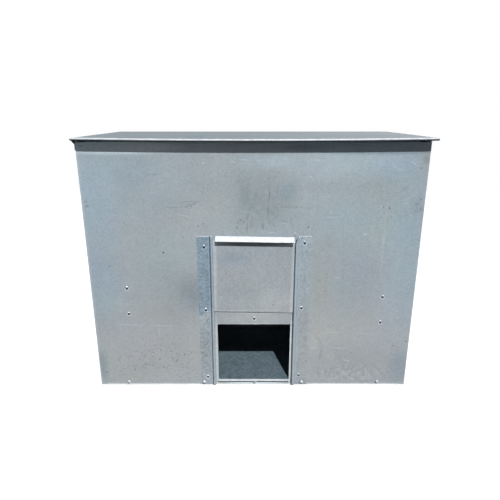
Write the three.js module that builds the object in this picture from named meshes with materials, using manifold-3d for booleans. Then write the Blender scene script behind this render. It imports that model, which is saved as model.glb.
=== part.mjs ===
// A galvanised sheet-steel coal bunker: a flat-packed box bolted and riveted together, with a hinged
// sloping lid to fill it through and a sliding hatch door at the foot of the front to shovel from.
// Millimetres. +X is right as seen from the front, +Y is towards the back, +Z is up. The origin is on
// the ground, in the middle of the area that the whole bunker takes up, lid overhang included.
import * as THREE from 'three';
import { mergeVertices } from 'three/addons/utils/BufferGeometryUtils.js';
import Module from 'manifold-3d';

// Driving dimensions
const SHEET = 1.2; // thickness of the galvanised sheet
const SEAT = 0.3; // gap kept between two pieces that touch
const BEND = 1.6; // radius of a fold, at the middle of the sheet

const WIDTH = 1000; // over the folded sides of the front sheet
const DEPTH = 400; // over the front and back sheets
const FRONT_Y = -190; // outer face of the front sheet
const BACK_Y = FRONT_Y + DEPTH; // outer face of the back sheet
const FRONT_TOP = 773; // top edge of the front sheet, a hand's gap below the lid
const LID_SLOPE = 5 * Math.PI / 180; // the lid rises to the back
const LID_FRONT_Z = 782.7; // underside of the lid sheet above the front sheet's outer face

const CORNER_FLANGE = 12; // front and back sheets folded round the sides
const HEM = 10; // every top edge is folded flat against the inner face of its sheet
const HEM_HALF = 468; // the front and back hems stop short of the corner brackets
const FOOT_RETURN = 22; // side sheets folded inwards under the floor
const BRACKET_LEG = 26; // angle bracket inside each top corner, its leg on the front or back sheet
const BRACKET_DEPTH = 30; // its leg on the side sheet
const BRACKET_BELOW = 14; // from the bracket's rivet to its lower edge
const BRACKET_ABOVE = 8;
const BRACKET_RIVET_Y = 21; // from the face of the front or back sheet to the rivet through the side

const HATCH_X = 3; // middle of the shovelling hatch
const HATCH_WIDTH = 230;
const FLOOR_Z = 20; // top of the raised floor, level with the hatch's lower edge
const HATCH_TOP = 217.4;
const SILL_DEPTH = 12; // ledge folded forwards from the hatch's lower edge
const KICK = 4; // strip along the foot of the front sheet, folded forwards by 45 degrees
const KICK_HALF = 480; // the kicked strip stops short of the corners
const KICK_GAP = 2; // the strip is cut away beside each guide

const TRAY_FOOT = 2; // lower edge of the floor tray's folded edges
const TRAY_NOTCH = 3;
const TRAY_SEAM = 168; // the floor is three trays side by side, which meet this far from the middle
const TRAY_END = WIDTH / 2 - 2 * SHEET - 2 * SEAT; // from the middle to the outer ends of the floor

const GUIDE_BOTTOM = 3;
const GUIDE_TOP = 503;
const GUIDE_FLANGE_HALF = 172; // from the hatch's middle to the outer edge of a guide's riveted flange
const GUIDE_FOOT_HALF = 133.9; // to the foot of its half-round bead
const GUIDE_BEAD_HALF = 128; // to the crest of the bead
const GUIDE_BEAD_RADIUS = 5.5; // at the middle of the sheet
const GUIDE_BEAD_ANGLES = [25, 60, 90, 118, 138]; // degrees up from the foot, the last one the free edge
const GUIDE_EDGE_HALF = 123.4; // to the free edge of the bead

const DOOR_WIDTH = 256;
const DOOR_HEIGHT = 243;
const DOOR_BOTTOM = 261; // lower edge of the raised door, at its middle
const DOOR_STAND_OFF = 2.2; // the door rides over the rivet above the hatch
const DOOR_TILT = 1; // degrees by which the loose door hangs askew in its guides, clockwise from the front
const PULL_WIDTH = 234; // folded lip along the door's top, by which it is lifted
const PULL_SLANT = 22;
const PULL_NECK = 14; // the door is only as wide as its pull for this height below the fold

const LID_WIDTH = 1011;
const LID_SHIFT = 3; // the lid sits this far to the right, within its side clearance
const LID_OVERHANG = 24; // from the front sheet to the middle of the rolled edge
const BEAD_RADIUS = 4.3; // outside radius of the lid's rolled front edge
const LID_SAG = 4; // how far the front edge of the lid has sunk at its middle
const SAG_REACH = 150; // how far back from the front edge the sag runs out
const LID_SIDE_FLANGE = 34;
const LID_BACK_FLANGE = 26;
// Front end of each side flange, as [set back from the front sheet, below the top of the lid]. The left
// one runs on below the overhang, and the right one has been snipped off behind the corner.
const FLANGE_ENDS = { left: [[-19, 0], [-19, 6], [3, 17], [3, LID_SIDE_FLANGE]],
  right: [[12, 0], [20, 8], [20, LID_SIDE_FLANGE]] };

const HINGE_X = [-300, 300];
const HINGE_WIDTH = 80;
const HINGE_Y = BACK_Y + 4.6; // hinge pin axis
const HINGE_Z = 785;
const KNUCKLE_OUTER = 4.3;
const KNUCKLE_BORE = 2.8;
const PIN_RADIUS = 2.4;
const PIN_HEAD = 1.6;
const LEAF_SHEET = 1.4;
const LEAF_UP = 30; // how far the lid's leaf reaches above the pin
const LEAF_DOWN = 34; // how far the wall's leaf reaches below it
const LEAF_RIVETS = [-28, 0, 28];
const LEAF_RIVET_RISE = 20; // from the pin to the row of rivets

const RIVET_HEAD = 3.9; // head radius of a 4 mm blind rivet
const RIVET_SHANK = 2.0;
const BOLT_HEAD = 6.2; // head radius of an M6 roofing bolt
const BOLT_SHANK = 3.0;
const HOLE_EXTRA = 0.5; // a hole is this much larger in radius than what goes through it

const GUIDE_RIVETS = { left: [[-147.6, 472.6], [-147.4, 269.5], [-147, 33.9]],
  right: [[154, 484.9], [151, 276.2], [149.5, 39.4]] };
const HEADER_RIVET = [4, 240]; // above the hatch, through the stiffener behind it
const TIES = { left: { x: -389, z: 298.5 }, right: { x: 402, z: 269.5 } };
const TIE_PITCH = 85; // between the two rivets of a tie bar's end plate
const TIE_RADIUS = 6;
const TIE_PLATE = 3; // thickness of the end plate
const TIE_PLATE_HALF = 14;
const TIE_PLATE_MARGIN = 12; // from a rivet to the end of the plate
const HEADER_ENDS = [-162, 168];
const HEADER_BOTTOM = 226;
const HEADER_TOP = 292;
const HEADER_LEG = 16;
const CORNER_RIVET_X = 484; // rivet through the front or back sheet and the bracket in its corner
const CORNER_RIVET_Z = 763;
const SEAM_RIVETS = [60, 215, 370, 525, 680]; // heights of the rivets through each corner flange
const SEAM_RIVET_INSET = 6.9; // from the face of the front or back sheet
const FRONT_BOLTS = [-408, -160, 6, 159, 408];
const BACK_BOLTS = [-408, 0, 408];
const SIDE_BOLTS = [-100, 120];
const BOLT_Z = 11;

const GALVANISED = new THREE.MeshStandardMaterial({ color: 0x9aa5ab, roughness: 0.45, metalness: 0.8 });
const SPANGLED = new THREE.MeshStandardMaterial({ color: 0x8f9ca8, roughness: 0.5, metalness: 0.8 });
const DOOR_SHEET = new THREE.MeshStandardMaterial({ color: 0xa2aaab, roughness: 0.45, metalness: 0.8 });
const INNER_SHEET = new THREE.MeshStandardMaterial({ color: 0x7c878c, roughness: 0.55, metalness: 0.7 });
const BRIGHT_ZINC = new THREE.MeshStandardMaterial({ color: 0xc4c9cc, roughness: 0.3, metalness: 0.9 });

const wasm = await Module();
wasm.setup();

// A closed three.js geometry as a solid that can be joined and cut.
function solid(geometry) {
  const plain = geometry.clone();
  plain.deleteAttribute('normal');
  plain.deleteAttribute('uv');
  const merged = mergeVertices(plain, 1e-4);
  const index = merged.index.array;
  const triVerts = [];
  for (let i = 0; i < index.length; i += 3) {
    const [a, b, c] = [index[i], index[i + 1], index[i + 2]];
    if (a !== b && b !== c && c !== a) triVerts.push(a, b, c);
  }
  return new wasm.Manifold(new wasm.Mesh({
    numProp: 3,
    vertProperties: Float32Array.from(merged.attributes.position.array),
    triVerts: Uint32Array.from(triVerts),
  }));
}

// The finished solid as a three.js geometry.
function surface(body) {
  const mesh = body.getMesh();
  const geometry = new THREE.BufferGeometry();
  geometry.setAttribute('position', new THREE.BufferAttribute(Float32Array.from(mesh.vertProperties), 3));
  geometry.setIndex(new THREE.BufferAttribute(Uint32Array.from(mesh.triVerts), 1));
  geometry.computeVertexNormals();
  return geometry;
}

function piece(name, body, material) {
  const mesh = new THREE.Mesh(surface(body), material);
  mesh.name = name;
  return mesh;
}

function join(parts) {
  return parts.reduce((whole, part) => whole.add(part));
}

function cut(body, tools) {
  return tools.reduce((rest, tool) => rest.subtract(tool), body);
}

// A block between two corners.
function block([x0, y0, z0], [x1, y1, z1]) {
  const box = new THREE.BoxGeometry(x1 - x0, y1 - y0, z1 - z0);
  box.translate((x0 + x1) / 2, (y0 + y1) / 2, (z0 + z1) / 2);
  return solid(box);
}

// The edge-on outline of a folded sheet: a line with a round bend at each inner point, given half the
// sheet's thickness on either side.
function sheetOutline(points, thickness = SHEET, bend = BEND, bendSteps = 4) {
  const line = [];
  const last = points.length - 1;
  for (let i = 0; i <= last; i += 1) {
    const here = new THREE.Vector2(...points[i]);
    if (i === 0 || i === last) {
      const other = new THREE.Vector2(...points[i === 0 ? 1 : last - 1]);
      const along = other.clone().sub(here).normalize().multiplyScalar(i === 0 ? 1 : -1);
      line.push({ at: here, along });
      continue;
    }
    const before = here.clone().sub(new THREE.Vector2(...points[i - 1])).normalize();
    const after = new THREE.Vector2(...points[i + 1]).sub(here).normalize();
    const turn = Math.atan2(before.cross(after), before.dot(after));
    const side = Math.sign(turn);
    const reach = bend * Math.tan(Math.abs(turn) / 2);
    const start = here.clone().addScaledVector(before, -reach);
    const centre = start.clone().add(new THREE.Vector2(-before.y, before.x).multiplyScalar(side * bend));
    for (let k = 0; k <= bendSteps; k += 1) {
      const angle = turn * k / bendSteps;
      const along = before.clone().rotateAround(new THREE.Vector2(), angle);
      const at = start.clone().rotateAround(centre, angle);
      line.push({ at, along });
    }
  }
  const offset = (side) => line.map(({ at, along }) => (
    new THREE.Vector2(at.x - side * along.y * thickness / 2, at.y + side * along.x * thickness / 2)));
  return new THREE.Shape([...offset(-1), ...offset(1).reverse()]);
}

// An outline drawn in (y, z) and carried along X.
function alongX(shape, x0, x1, steps = 1) {
  const bar = new THREE.ExtrudeGeometry(shape, { depth: x1 - x0, steps, bevelEnabled: false });
  const turn = new THREE.Matrix4().makeBasis(
    new THREE.Vector3(0, 1, 0), new THREE.Vector3(0, 0, 1), new THREE.Vector3(1, 0, 0));
  bar.applyMatrix4(turn);
  bar.translate(x0, 0, 0);
  return bar;
}

// An outline drawn in (x, y) and carried up Z.
function alongZ(shape, z0, z1) {
  const bar = new THREE.ExtrudeGeometry(shape, { depth: z1 - z0, bevelEnabled: false });
  bar.translate(0, 0, z0);
  return bar;
}

// A round bar along Y from y0 to y1, also the drill for a hole.
function roundAlongY(x, z, radius, y0, y1, sides = 8) {
  const bar = new THREE.CylinderGeometry(radius, radius, y1 - y0, sides);
  bar.translate(x, (y0 + y1) / 2, z);
  return solid(bar);
}

// A round bar along X from x0 to x1.
function roundAlongX(y, z, radius, x0, x1, sides = 8) {
  const bar = new THREE.CylinderGeometry(radius, radius, x1 - x0, sides);
  bar.rotateZ(Math.PI / 2);
  bar.translate((x0 + x1) / 2, y, z);
  return solid(bar);
}

// Height of the lid's underside above the front-to-back position y.
function lidUnderside(y) {
  return LID_FRONT_Z + (y - FRONT_Y) * Math.tan(LID_SLOPE);
}

// A large block that lies on the underside of the lid less a gap, to trim what stands below it.
function aboveLidPlane() {
  const reach = 1400;
  const box = new THREE.BoxGeometry(reach, reach, reach);
  box.translate(0, 0, reach / 2);
  box.rotateX(LID_SLOPE);
  box.translate(0, FRONT_Y, LID_FRONT_Z - SEAT);
  return solid(box);
}

// A hem along the top edge of the front or back sheet: two thicknesses of sheet with a half-round fold,
// `y` being the face between the two.
function hem(y, top) {
  const fold = roundAlongX(y, top - SHEET, SHEET, -HEM_HALF, HEM_HALF, 12);
  return fold.add(block([-HEM_HALF, y - SHEET, top - HEM], [HEM_HALF, y + SHEET, top - SHEET]));
}

// What is cut away from a square top edge to make room for its hem.
function hemTrim(y, top) {
  return block([-HEM_HALF, y - 2 * SHEET, top - SHEET], [HEM_HALF, y + 2 * SHEET, top + HEM]);
}

// Fasteners. The turned profile of a blind rivet: domed head outside, shank through the sheets, and the
// swollen end that grips behind them. Height runs from the head's crown to the blind end.
function rivetProfile(grip) {
  const crown = 1.5;
  const dome = 3;
  const profile = [];
  for (let i = 0; i <= dome; i += 1) {
    const angle = (i / dome) * Math.PI / 2;
    profile.push(new THREE.Vector2(RIVET_HEAD * Math.sin(angle), -crown * Math.cos(angle)));
  }
  const blind = grip + 2 * SEAT;
  profile.push(new THREE.Vector2(RIVET_SHANK, 0));
  profile.push(new THREE.Vector2(RIVET_SHANK, blind));
  profile.push(new THREE.Vector2(RIVET_SHANK + 0.9, blind + 0.2));
  profile.push(new THREE.Vector2(RIVET_SHANK + 0.7, blind + 3));
  profile.push(new THREE.Vector2(0, blind + 3.6));
  profile[0].x = 0;
  return profile;
}

// The turned profile of a roofing bolt with its nut run up: mushroom head, shank, and the nut's round.
function boltProfile(grip) {
  const crown = 3.4;
  const dome = 4;
  const profile = [];
  for (let i = 0; i <= dome; i += 1) {
    const angle = (i / dome) * Math.PI / 2;
    profile.push(new THREE.Vector2(BOLT_HEAD * Math.sin(angle), -crown * Math.cos(angle)));
  }
  const end = grip + 2 * SEAT + 7;
  profile.push(new THREE.Vector2(BOLT_SHANK, 0));
  profile.push(new THREE.Vector2(BOLT_SHANK, end));
  profile.push(new THREE.Vector2(0, end));
  profile[0].x = 0;
  return profile;
}

// A square nut on the bolt, fused with it because the two turn as one once they are tightened.
function nutOnBolt(grip) {
  const start = grip + 2 * SEAT;
  const nut = new THREE.BoxGeometry(10, 5, 10);
  nut.translate(0, start + 2.5, 0);
  return solid(nut);
}

function rivet(grip) {
  return new THREE.LatheGeometry(rivetProfile(grip), 10);
}

function bolt(grip) {
  const turned = solid(new THREE.LatheGeometry(boltProfile(grip), 12));
  const slot = block([-1, -5, -BOLT_HEAD], [1, -2.3, BOLT_HEAD]);
  return surface(cut(turned.add(nutOnBolt(grip)), [slot]));
}

// A fastener with its head on the face at `place`, driven along `inward`.
function fastener(name, geometry, place, inward) {
  const mesh = new THREE.Mesh(geometry, BRIGHT_ZINC);
  mesh.name = name;
  mesh.position.set(...place);
  mesh.quaternion.setFromUnitVectors(new THREE.Vector3(0, 1, 0), new THREE.Vector3(...inward));
  return mesh;
}

// Holes along Y through everything between y0 and y1, at a list of [x, z] places.
function drillY(places, shank, y0, y1) {
  return places.map(([x, z]) => roundAlongY(x, z, shank + HOLE_EXTRA, y0, y1));
}

function tieHoles() {
  return Object.values(TIES).flatMap(({ x, z }) => (
    [[x, z - TIE_PITCH / 2], [x, z + TIE_PITCH / 2]]));
}

function cornerHoles() {
  return [[-CORNER_RIVET_X, CORNER_RIVET_Z], [CORNER_RIVET_X, CORNER_RIVET_Z]];
}

// A small rivet head on a sheet that faces sideways, one piece with it. `side` is -1 for left, 1 for right.
function sideRivetHead(side, x, y, z) {
  const head = new THREE.LatheGeometry([
    new THREE.Vector2(0, -1.2), new THREE.Vector2(2.6, -0.9), new THREE.Vector2(3.7, 0.2),
    new THREE.Vector2(0, 0.6)], 8);
  head.rotateZ(side > 0 ? Math.PI / 2 : -Math.PI / 2);
  head.translate(side * x, y, z);
  return solid(head);
}

// The row of heads up both corner flanges of the front or back sheet.
function seamRivetHeads(y) {
  return [-1, 1].flatMap((side) => SEAM_RIVETS.map((z) => sideRivetHead(side, WIDTH / 2, y, z)));
}

// The front sheet: folded back round both sides, its top edge hemmed and its foot kicked forwards, with
// the hatch cut out above a folded sill.
function frontPanel() {
  const mid = SHEET / 2;
  const x = WIDTH / 2 - mid;
  const y = FRONT_Y + mid;
  const flangeEnd = FRONT_Y + CORNER_FLANGE;
  const wrap = solid(alongZ(sheetOutline([[-x, flangeEnd], [-x, y], [x, y], [x, flangeEnd]]), 0, FRONT_TOP));
  const foot = block([-KICK_HALF, FRONT_Y - 1, -1], [KICK_HALF, FRONT_Y + 3, KICK]);
  const behind = FRONT_Y + SHEET;
  const sheet = cut(wrap, [hemTrim(behind, FRONT_TOP), foot]).add(hem(behind, FRONT_TOP));
  const hatch = block([HATCH_X - HATCH_WIDTH / 2, FRONT_Y - 5, FLOOR_Z],
    [HATCH_X + HATCH_WIDTH / 2, FRONT_Y + 5, HATCH_TOP]);
  const sill = solid(alongX(sheetOutline(
    [[y, FLOOR_Z - 5], [y, FLOOR_Z + mid], [FRONT_Y - SILL_DEPTH, FLOOR_Z + mid]]),
  HATCH_X - HATCH_WIDTH / 2, HATCH_X + HATCH_WIDTH / 2));
  const kickReach = KICK - mid;
  const kickLine = [[y, 3 * KICK], [y, KICK], [y - kickReach, KICK - kickReach]];
  const spans = [[-KICK_HALF, HATCH_X - GUIDE_FLANGE_HALF - KICK_GAP],
    [HATCH_X - GUIDE_EDGE_HALF + KICK_GAP, HATCH_X + GUIDE_EDGE_HALF - KICK_GAP],
    [HATCH_X + GUIDE_FLANGE_HALF + KICK_GAP, KICK_HALF]];
  const kicks = spans.map(([x0, x1]) => solid(alongX(sheetOutline(kickLine), x0, x1)));
  const rivetHoles = drillY([...GUIDE_RIVETS.left, ...GUIDE_RIVETS.right, HEADER_RIVET, ...tieHoles(),
    ...cornerHoles()], RIVET_SHANK, FRONT_Y - 5, FRONT_Y + 5);
  const boltHoles = drillY(FRONT_BOLTS.map((bx) => [bx, BOLT_Z]), BOLT_SHANK, FRONT_Y - 5, FRONT_Y + 5);
  const heads = seamRivetHeads(FRONT_Y + SEAM_RIVET_INSET);
  return join([cut(sheet, [hatch]), sill, ...kicks, ...heads]).subtract(join([...rivetHoles, ...boltHoles]));
}

// The back sheet: a plain wall, folded forwards round both sides, its top edge hemmed.
function backPanel() {
  const mid = SHEET / 2;
  const x = WIDTH / 2 - mid;
  const y = BACK_Y - mid;
  const inFront = BACK_Y - SHEET;
  const top = lidUnderside(inFront) - SEAT - 0.1;
  const flangeEnd = BACK_Y - CORNER_FLANGE;
  const wrap = solid(alongZ(sheetOutline([[-x, flangeEnd], [-x, y], [x, y], [x, flangeEnd]]), 0, top + HEM));
  const rivetHoles = drillY([...tieHoles(), ...cornerHoles()], RIVET_SHANK, BACK_Y - 5, BACK_Y + 5);
  const boltHoles = drillY(BACK_BOLTS.map((bx) => [bx, BOLT_Z]), BOLT_SHANK, BACK_Y - 5, BACK_Y + 5);
  const heads = seamRivetHeads(BACK_Y - SEAM_RIVET_INSET);
  const sheet = cut(wrap, [hemTrim(inFront, top), aboveLidPlane()]).add(hem(inFront, top));
  return join([sheet, ...heads]).subtract(join([...rivetHoles, ...boltHoles]));
}

// A side sheet: its sloping top edge hemmed and its foot folded inwards to stand on, with the heads of the
// two rivets that hold the brackets in its corners. `side` is -1 for left, 1 for right.
function sidePanel(side) {
  const outer = WIDTH / 2 - SHEET - SEAT;
  const inner = outer - SHEET;
  const front = FRONT_Y + SHEET + SEAT;
  const back = BACK_Y - SHEET - SEAT;
  const span = (a, b) => (side > 0 ? [a, b] : [-b, -a]);
  const slab = (a, b, y0, y1, z0, z1) => {
    const [x0, x1] = span(a, b);
    return block([x0, y0, z0], [x1, y1, z1]);
  };
  const wall = slab(inner, outer, front, back, 0, lidUnderside(BACK_Y));
  const foot = slab(outer - FOOT_RETURN, outer, front + 3, back - 3, 0, SHEET);
  const heads = [FRONT_Y + BRACKET_RIVET_Y, BACK_Y - BRACKET_RIVET_Y].map((y) => (
    sideRivetHead(side, outer, y, CORNER_RIVET_Z)));
  const middle = (FRONT_Y + BACK_Y) / 2;
  const topHem = new THREE.BoxGeometry(1.5 * SHEET, (DEPTH - 12) / Math.cos(LID_SLOPE), HEM);
  topHem.rotateX(LID_SLOPE);
  topHem.translate(side * (inner - SHEET / 4), middle,
    lidUnderside(middle) - (SEAT + HEM / 2) / Math.cos(LID_SLOPE));
  const bolts = SIDE_BOLTS.map((y) => {
    const [x0, x1] = span(inner - 3, outer + 3);
    return roundAlongX(y, BOLT_Z, BOLT_SHANK + HOLE_EXTRA, x0, x1);
  });
  return cut(join([cut(wall, [aboveLidPlane()]), foot, ...heads, solid(topHem)]), bolts);
}

// The angle bracket in a top corner, riveted to the front or back sheet and to the side sheet. `side` is -1
// for left, 1 for right, and `end` is -1 for the front, 1 for the back.
function cornerBracket(side, end) {
  const mid = SHEET / 2;
  const x = WIDTH / 2 - 2 * SHEET - 2 * SEAT - mid;
  const face = end < 0 ? FRONT_Y : BACK_Y;
  const y = face - end * (SHEET + SEAT + mid);
  const line = [[side * (x - BRACKET_LEG), y], [side * x, y], [side * x, face - end * BRACKET_DEPTH]];
  const angle = solid(alongZ(sheetOutline(line), CORNER_RIVET_Z - BRACKET_BELOW,
    CORNER_RIVET_Z + BRACKET_ABOVE));
  return cut(angle, drillY(cornerHoles(), RIVET_SHANK, y - 3, y + 3));
}

// One tray of the floor, raised to the hatch, from x0 to x1. Its edges are folded down, and bolted to the
// walls that they meet.
function floorTray(x0, x1) {
  const x = TRAY_END;
  const front = FRONT_Y + SHEET + SEAT;
  const back = BACK_Y - SHEET - SEAT;
  const tray = block([x0, front, TRAY_FOOT], [x1, back, FLOOR_Z]);
  const below = TRAY_FOOT - 1;
  const hollow = block([x0 + SHEET, front + SHEET, below], [x1 - SHEET, back - SHEET, FLOOR_Z - SHEET]);
  const notches = [x0, x1].flatMap((nx) => [front, back].map((ny) => (
    block([nx - TRAY_NOTCH, ny - TRAY_NOTCH, below], [nx + TRAY_NOTCH, ny + TRAY_NOTCH, FLOOR_Z + 1]))));
  const fronts = drillY(FRONT_BOLTS.map((bx) => [bx, BOLT_Z]), BOLT_SHANK, front - 3, front + 4);
  const backs = drillY(BACK_BOLTS.map((bx) => [bx, BOLT_Z]), BOLT_SHANK, back - 4, back + 3);
  const sides = SIDE_BOLTS.flatMap((y) => (
    [roundAlongX(y, BOLT_Z, BOLT_SHANK + HOLE_EXTRA, -x - 3, -x + 4),
      roundAlongX(y, BOLT_Z, BOLT_SHANK + HOLE_EXTRA, x - 4, x + 3)]));
  return cut(tray, [hollow, ...notches, ...fronts, ...backs, ...sides]);
}

// A door guide: a wide flange riveted to the front sheet, whose inner edge is rolled up into a half-round
// bead over the door's edge.
function slideGuide(side) {
  const seat = FRONT_Y - SEAT - SHEET / 2;
  const at = (half, rise) => [HATCH_X + side * half, seat - rise];
  const bead = GUIDE_BEAD_ANGLES.map(THREE.MathUtils.degToRad).map((angle) => (
    at(GUIDE_BEAD_HALF + GUIDE_BEAD_RADIUS * Math.cos(angle), GUIDE_BEAD_RADIUS * Math.sin(angle))));
  const section = sheetOutline([at(GUIDE_FLANGE_HALF, 0), at(GUIDE_FOOT_HALF, 0), ...bead], SHEET, 0.9, 2);
  const name = side < 0 ? 'left' : 'right';
  const boltX = side < 0 ? FRONT_BOLTS[1] : FRONT_BOLTS[3];
  return cut(solid(alongZ(section, GUIDE_BOTTOM, GUIDE_TOP)), [
    ...drillY(GUIDE_RIVETS[name], RIVET_SHANK, FRONT_Y - 5, FRONT_Y + 2),
    ...drillY([[boltX, BOLT_Z]], BOLT_SHANK, FRONT_Y - 5, FRONT_Y + 2)]);
}

// The hatch door: one sheet, its top edge folded forwards and down as a pull. It hangs a little askew.
function hatchDoor() {
  const mid = SHEET / 2;
  const y = FRONT_Y - DOOR_STAND_OFF - mid;
  const plate = block([-DOOR_WIDTH / 2, y - mid, 0], [DOOR_WIDTH / 2, y + mid, DOOR_HEIGHT - PULL_NECK]);
  const reach = PULL_SLANT * Math.SQRT1_2;
  const pull = solid(alongX(sheetOutline([[y, DOOR_HEIGHT - 2 * PULL_NECK], [y, DOOR_HEIGHT],
    [y - reach, DOOR_HEIGHT - reach]], SHEET, 1.6, 6), -PULL_WIDTH / 2, PULL_WIDTH / 2));
  const lean = DOOR_HEIGHT / 2 * Math.sin(THREE.MathUtils.degToRad(DOOR_TILT));
  return plate.add(pull).rotate([0, DOOR_TILT, 0]).translate([HATCH_X - lean, 0, DOOR_BOTTOM]);
}

// The stiffener behind the sheet above the hatch, an angle held by the rivet over the hatch and by the
// middle rivet of each guide.
function hatchHeader() {
  const mid = SHEET / 2;
  const y = FRONT_Y + SHEET + SEAT + mid;
  const line = [[y, HEADER_BOTTOM], [y, HEADER_TOP], [y + HEADER_LEG, HEADER_TOP]];
  const angle = solid(alongX(sheetOutline(line), ...HEADER_ENDS));
  const holes = [GUIDE_RIVETS.left[1], GUIDE_RIVETS.right[1], HEADER_RIVET];
  return cut(angle, drillY(holes, RIVET_SHANK, FRONT_Y, FRONT_Y + 5));
}

// A tie that keeps the front and back from bulging: a round bar with an end plate riveted to each.
function tieBar({ x, z }) {
  const front = FRONT_Y + SHEET + SEAT;
  const back = BACK_Y - SHEET - SEAT;
  const half = TIE_PITCH / 2;
  const plates = [[front, front + TIE_PLATE], [back - TIE_PLATE, back]].map(([y0, y1]) => (
    block([x - TIE_PLATE_HALF, y0, z - half - TIE_PLATE_MARGIN],
      [x + TIE_PLATE_HALF, y1, z + half + TIE_PLATE_MARGIN])));
  const bar = roundAlongY(x, z, TIE_RADIUS, front + 1, back - 1, 12);
  const holes = drillY([[x, z - half], [x, z + half]], RIVET_SHANK, front - 2, back + 2);
  return cut(join([...plates, bar]), holes);
}

// The lid: one sheet with a rolled front edge, its sides and back folded down outside the walls. The
// sheet is drawn edge-on in (y, z), then its front edge is let down along its length as it has sagged.
function lid() {
  const x0 = LID_SHIFT - LID_WIDTH / 2;
  const x1 = LID_SHIFT + LID_WIDTH / 2;
  const mid = SHEET / 2;
  const frontY = FRONT_Y - LID_OVERHANG;
  const backY = BACK_Y + 0.8 + mid;
  const level = (y) => lidUnderside(y) + mid / Math.cos(LID_SLOPE);
  const ring = BEAD_RADIUS - mid;
  const curlSteps = 11;
  const curl = 1.72 * Math.PI;
  const beadCentre = new THREE.Vector2(frontY, level(frontY) - ring);
  const line = [];
  for (let i = curlSteps; i >= 0; i -= 1) {
    const angle = Math.PI / 2 + LID_SLOPE + curl * i / curlSteps;
    const along = new THREE.Vector2(Math.sin(angle), -Math.cos(angle));
    const out = new THREE.Vector2(Math.cos(angle), Math.sin(angle)).multiplyScalar(ring);
    line.push({ at: out.add(beadCentre), along });
  }
  const slopeAlong = new THREE.Vector2(Math.cos(LID_SLOPE), Math.sin(LID_SLOPE));
  for (const back of [20, 50, 80, 110, SAG_REACH]) {
    line.push({ at: new THREE.Vector2(frontY + back, level(frontY + back)), along: slopeAlong });
  }
  line.push({ at: new THREE.Vector2(backY, level(backY)), along: slopeAlong });
  const offset = (side) => line.map(({ at, along }) => (
    new THREE.Vector2(at.x - side * along.y * mid, at.y + side * along.x * mid)));
  const outline = new THREE.Shape([...offset(-1), ...offset(1).reverse()]);
  const sheet = alongX(outline, x0, x1, 16);
  const places = sheet.attributes.position;
  for (let i = 0; i < places.count; i += 1) {
    const across = (places.getX(i) - LID_SHIFT) / (LID_WIDTH / 2);
    const back = THREE.MathUtils.clamp((places.getY(i) - frontY) / SAG_REACH, 0, 1);
    const fade = (1 - back) * (1 - back) * (1 + 2 * back);
    places.setZ(i, places.getZ(i) - LID_SAG * (1 - across * across) * fade);
  }
  const below = (y, drop) => new THREE.Vector2(y, level(y) - drop);
  const flange = (ends, a, b) => solid(alongX(new THREE.Shape([
    ...ends.map(([back, drop]) => below(FRONT_Y + back, drop)),
    below(backY + mid, LID_SIDE_FLANGE), below(backY + mid, 0)]), a, b));
  const sides = [flange(FLANGE_ENDS.left, x0, x0 + SHEET), flange(FLANGE_ENDS.right, x1 - SHEET, x1)];
  const backFlange = block([x0, backY - mid, level(backY) - LID_BACK_FLANGE],
    [x1, backY + mid, level(backY)]);
  return join([solid(sheet), ...sides, backFlange]);
}

// One leaf of a hinge: a plate rolled into knuckles at the pin. `up` is 1 for the leaf on the lid,
// which has the middle knuckle, and -1 for the leaf on the back wall, which has the outer two.
function hingeLeaf(x, up) {
  const third = HINGE_WIDTH / 3;
  const gap = 0.4;
  const left = x - HINGE_WIDTH / 2;
  const spans = up > 0 ? [[left + third + gap, left + 2 * third - gap]]
    : [[left, left + third - gap], [left + 2 * third + gap, left + HINGE_WIDTH]];
  const plateY = up > 0 ? BACK_Y + 0.8 + SHEET + SEAT : BACK_Y + SEAT;
  const clear = KNUCKLE_OUTER + 1.2;
  const [low, high] = up > 0 ? [clear, LEAF_UP] : [-LEAF_DOWN, -clear];
  const plate = block([left, plateY, HINGE_Z + low],
    [left + HINGE_WIDTH, plateY + LEAF_SHEET, HINGE_Z + high]);
  const knuckles = spans.flatMap(([a, b]) => {
    const z0 = up > 0 ? HINGE_Z + KNUCKLE_BORE : HINGE_Z - clear - 1;
    const z1 = up > 0 ? HINGE_Z + clear + 1 : HINGE_Z - KNUCKLE_BORE;
    return [roundAlongX(HINGE_Y, HINGE_Z, KNUCKLE_OUTER, a, b, 14),
      block([a, plateY, z0], [b, plateY + LEAF_SHEET, z1])];
  });
  const headZ = HINGE_Z + up * LEAF_RIVET_RISE;
  const heads = LEAF_RIVETS.map((dx) => {
    const head = new THREE.LatheGeometry([new THREE.Vector2(0, -0.6), new THREE.Vector2(3.9, 0),
      new THREE.Vector2(2.8, 1.1), new THREE.Vector2(0, 1.5)], 8);
    head.translate(x + dx, plateY + LEAF_SHEET, headZ);
    return solid(head);
  });
  const bore = roundAlongX(HINGE_Y, HINGE_Z, KNUCKLE_BORE, left - 1, left + HINGE_WIDTH + 1, 14);
  return cut(join([plate, ...knuckles, ...heads]), [bore]);
}

// A hinge pin, with a small head at each end that keeps it in the knuckles.
function hingePin(x) {
  const half = HINGE_WIDTH / 2 + SEAT;
  const end = half + PIN_HEAD;
  const shaft = roundAlongX(HINGE_Y, HINGE_Z, PIN_RADIUS, x - end, x + end, 12);
  const heads = [[x - end, x - half], [x + half, x + end]].map(([a, b]) => (
    roundAlongX(HINGE_Y, HINGE_Z, KNUCKLE_OUTER - 0.7, a, b, 12)));
  return join([shaft, ...heads]);
}

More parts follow.
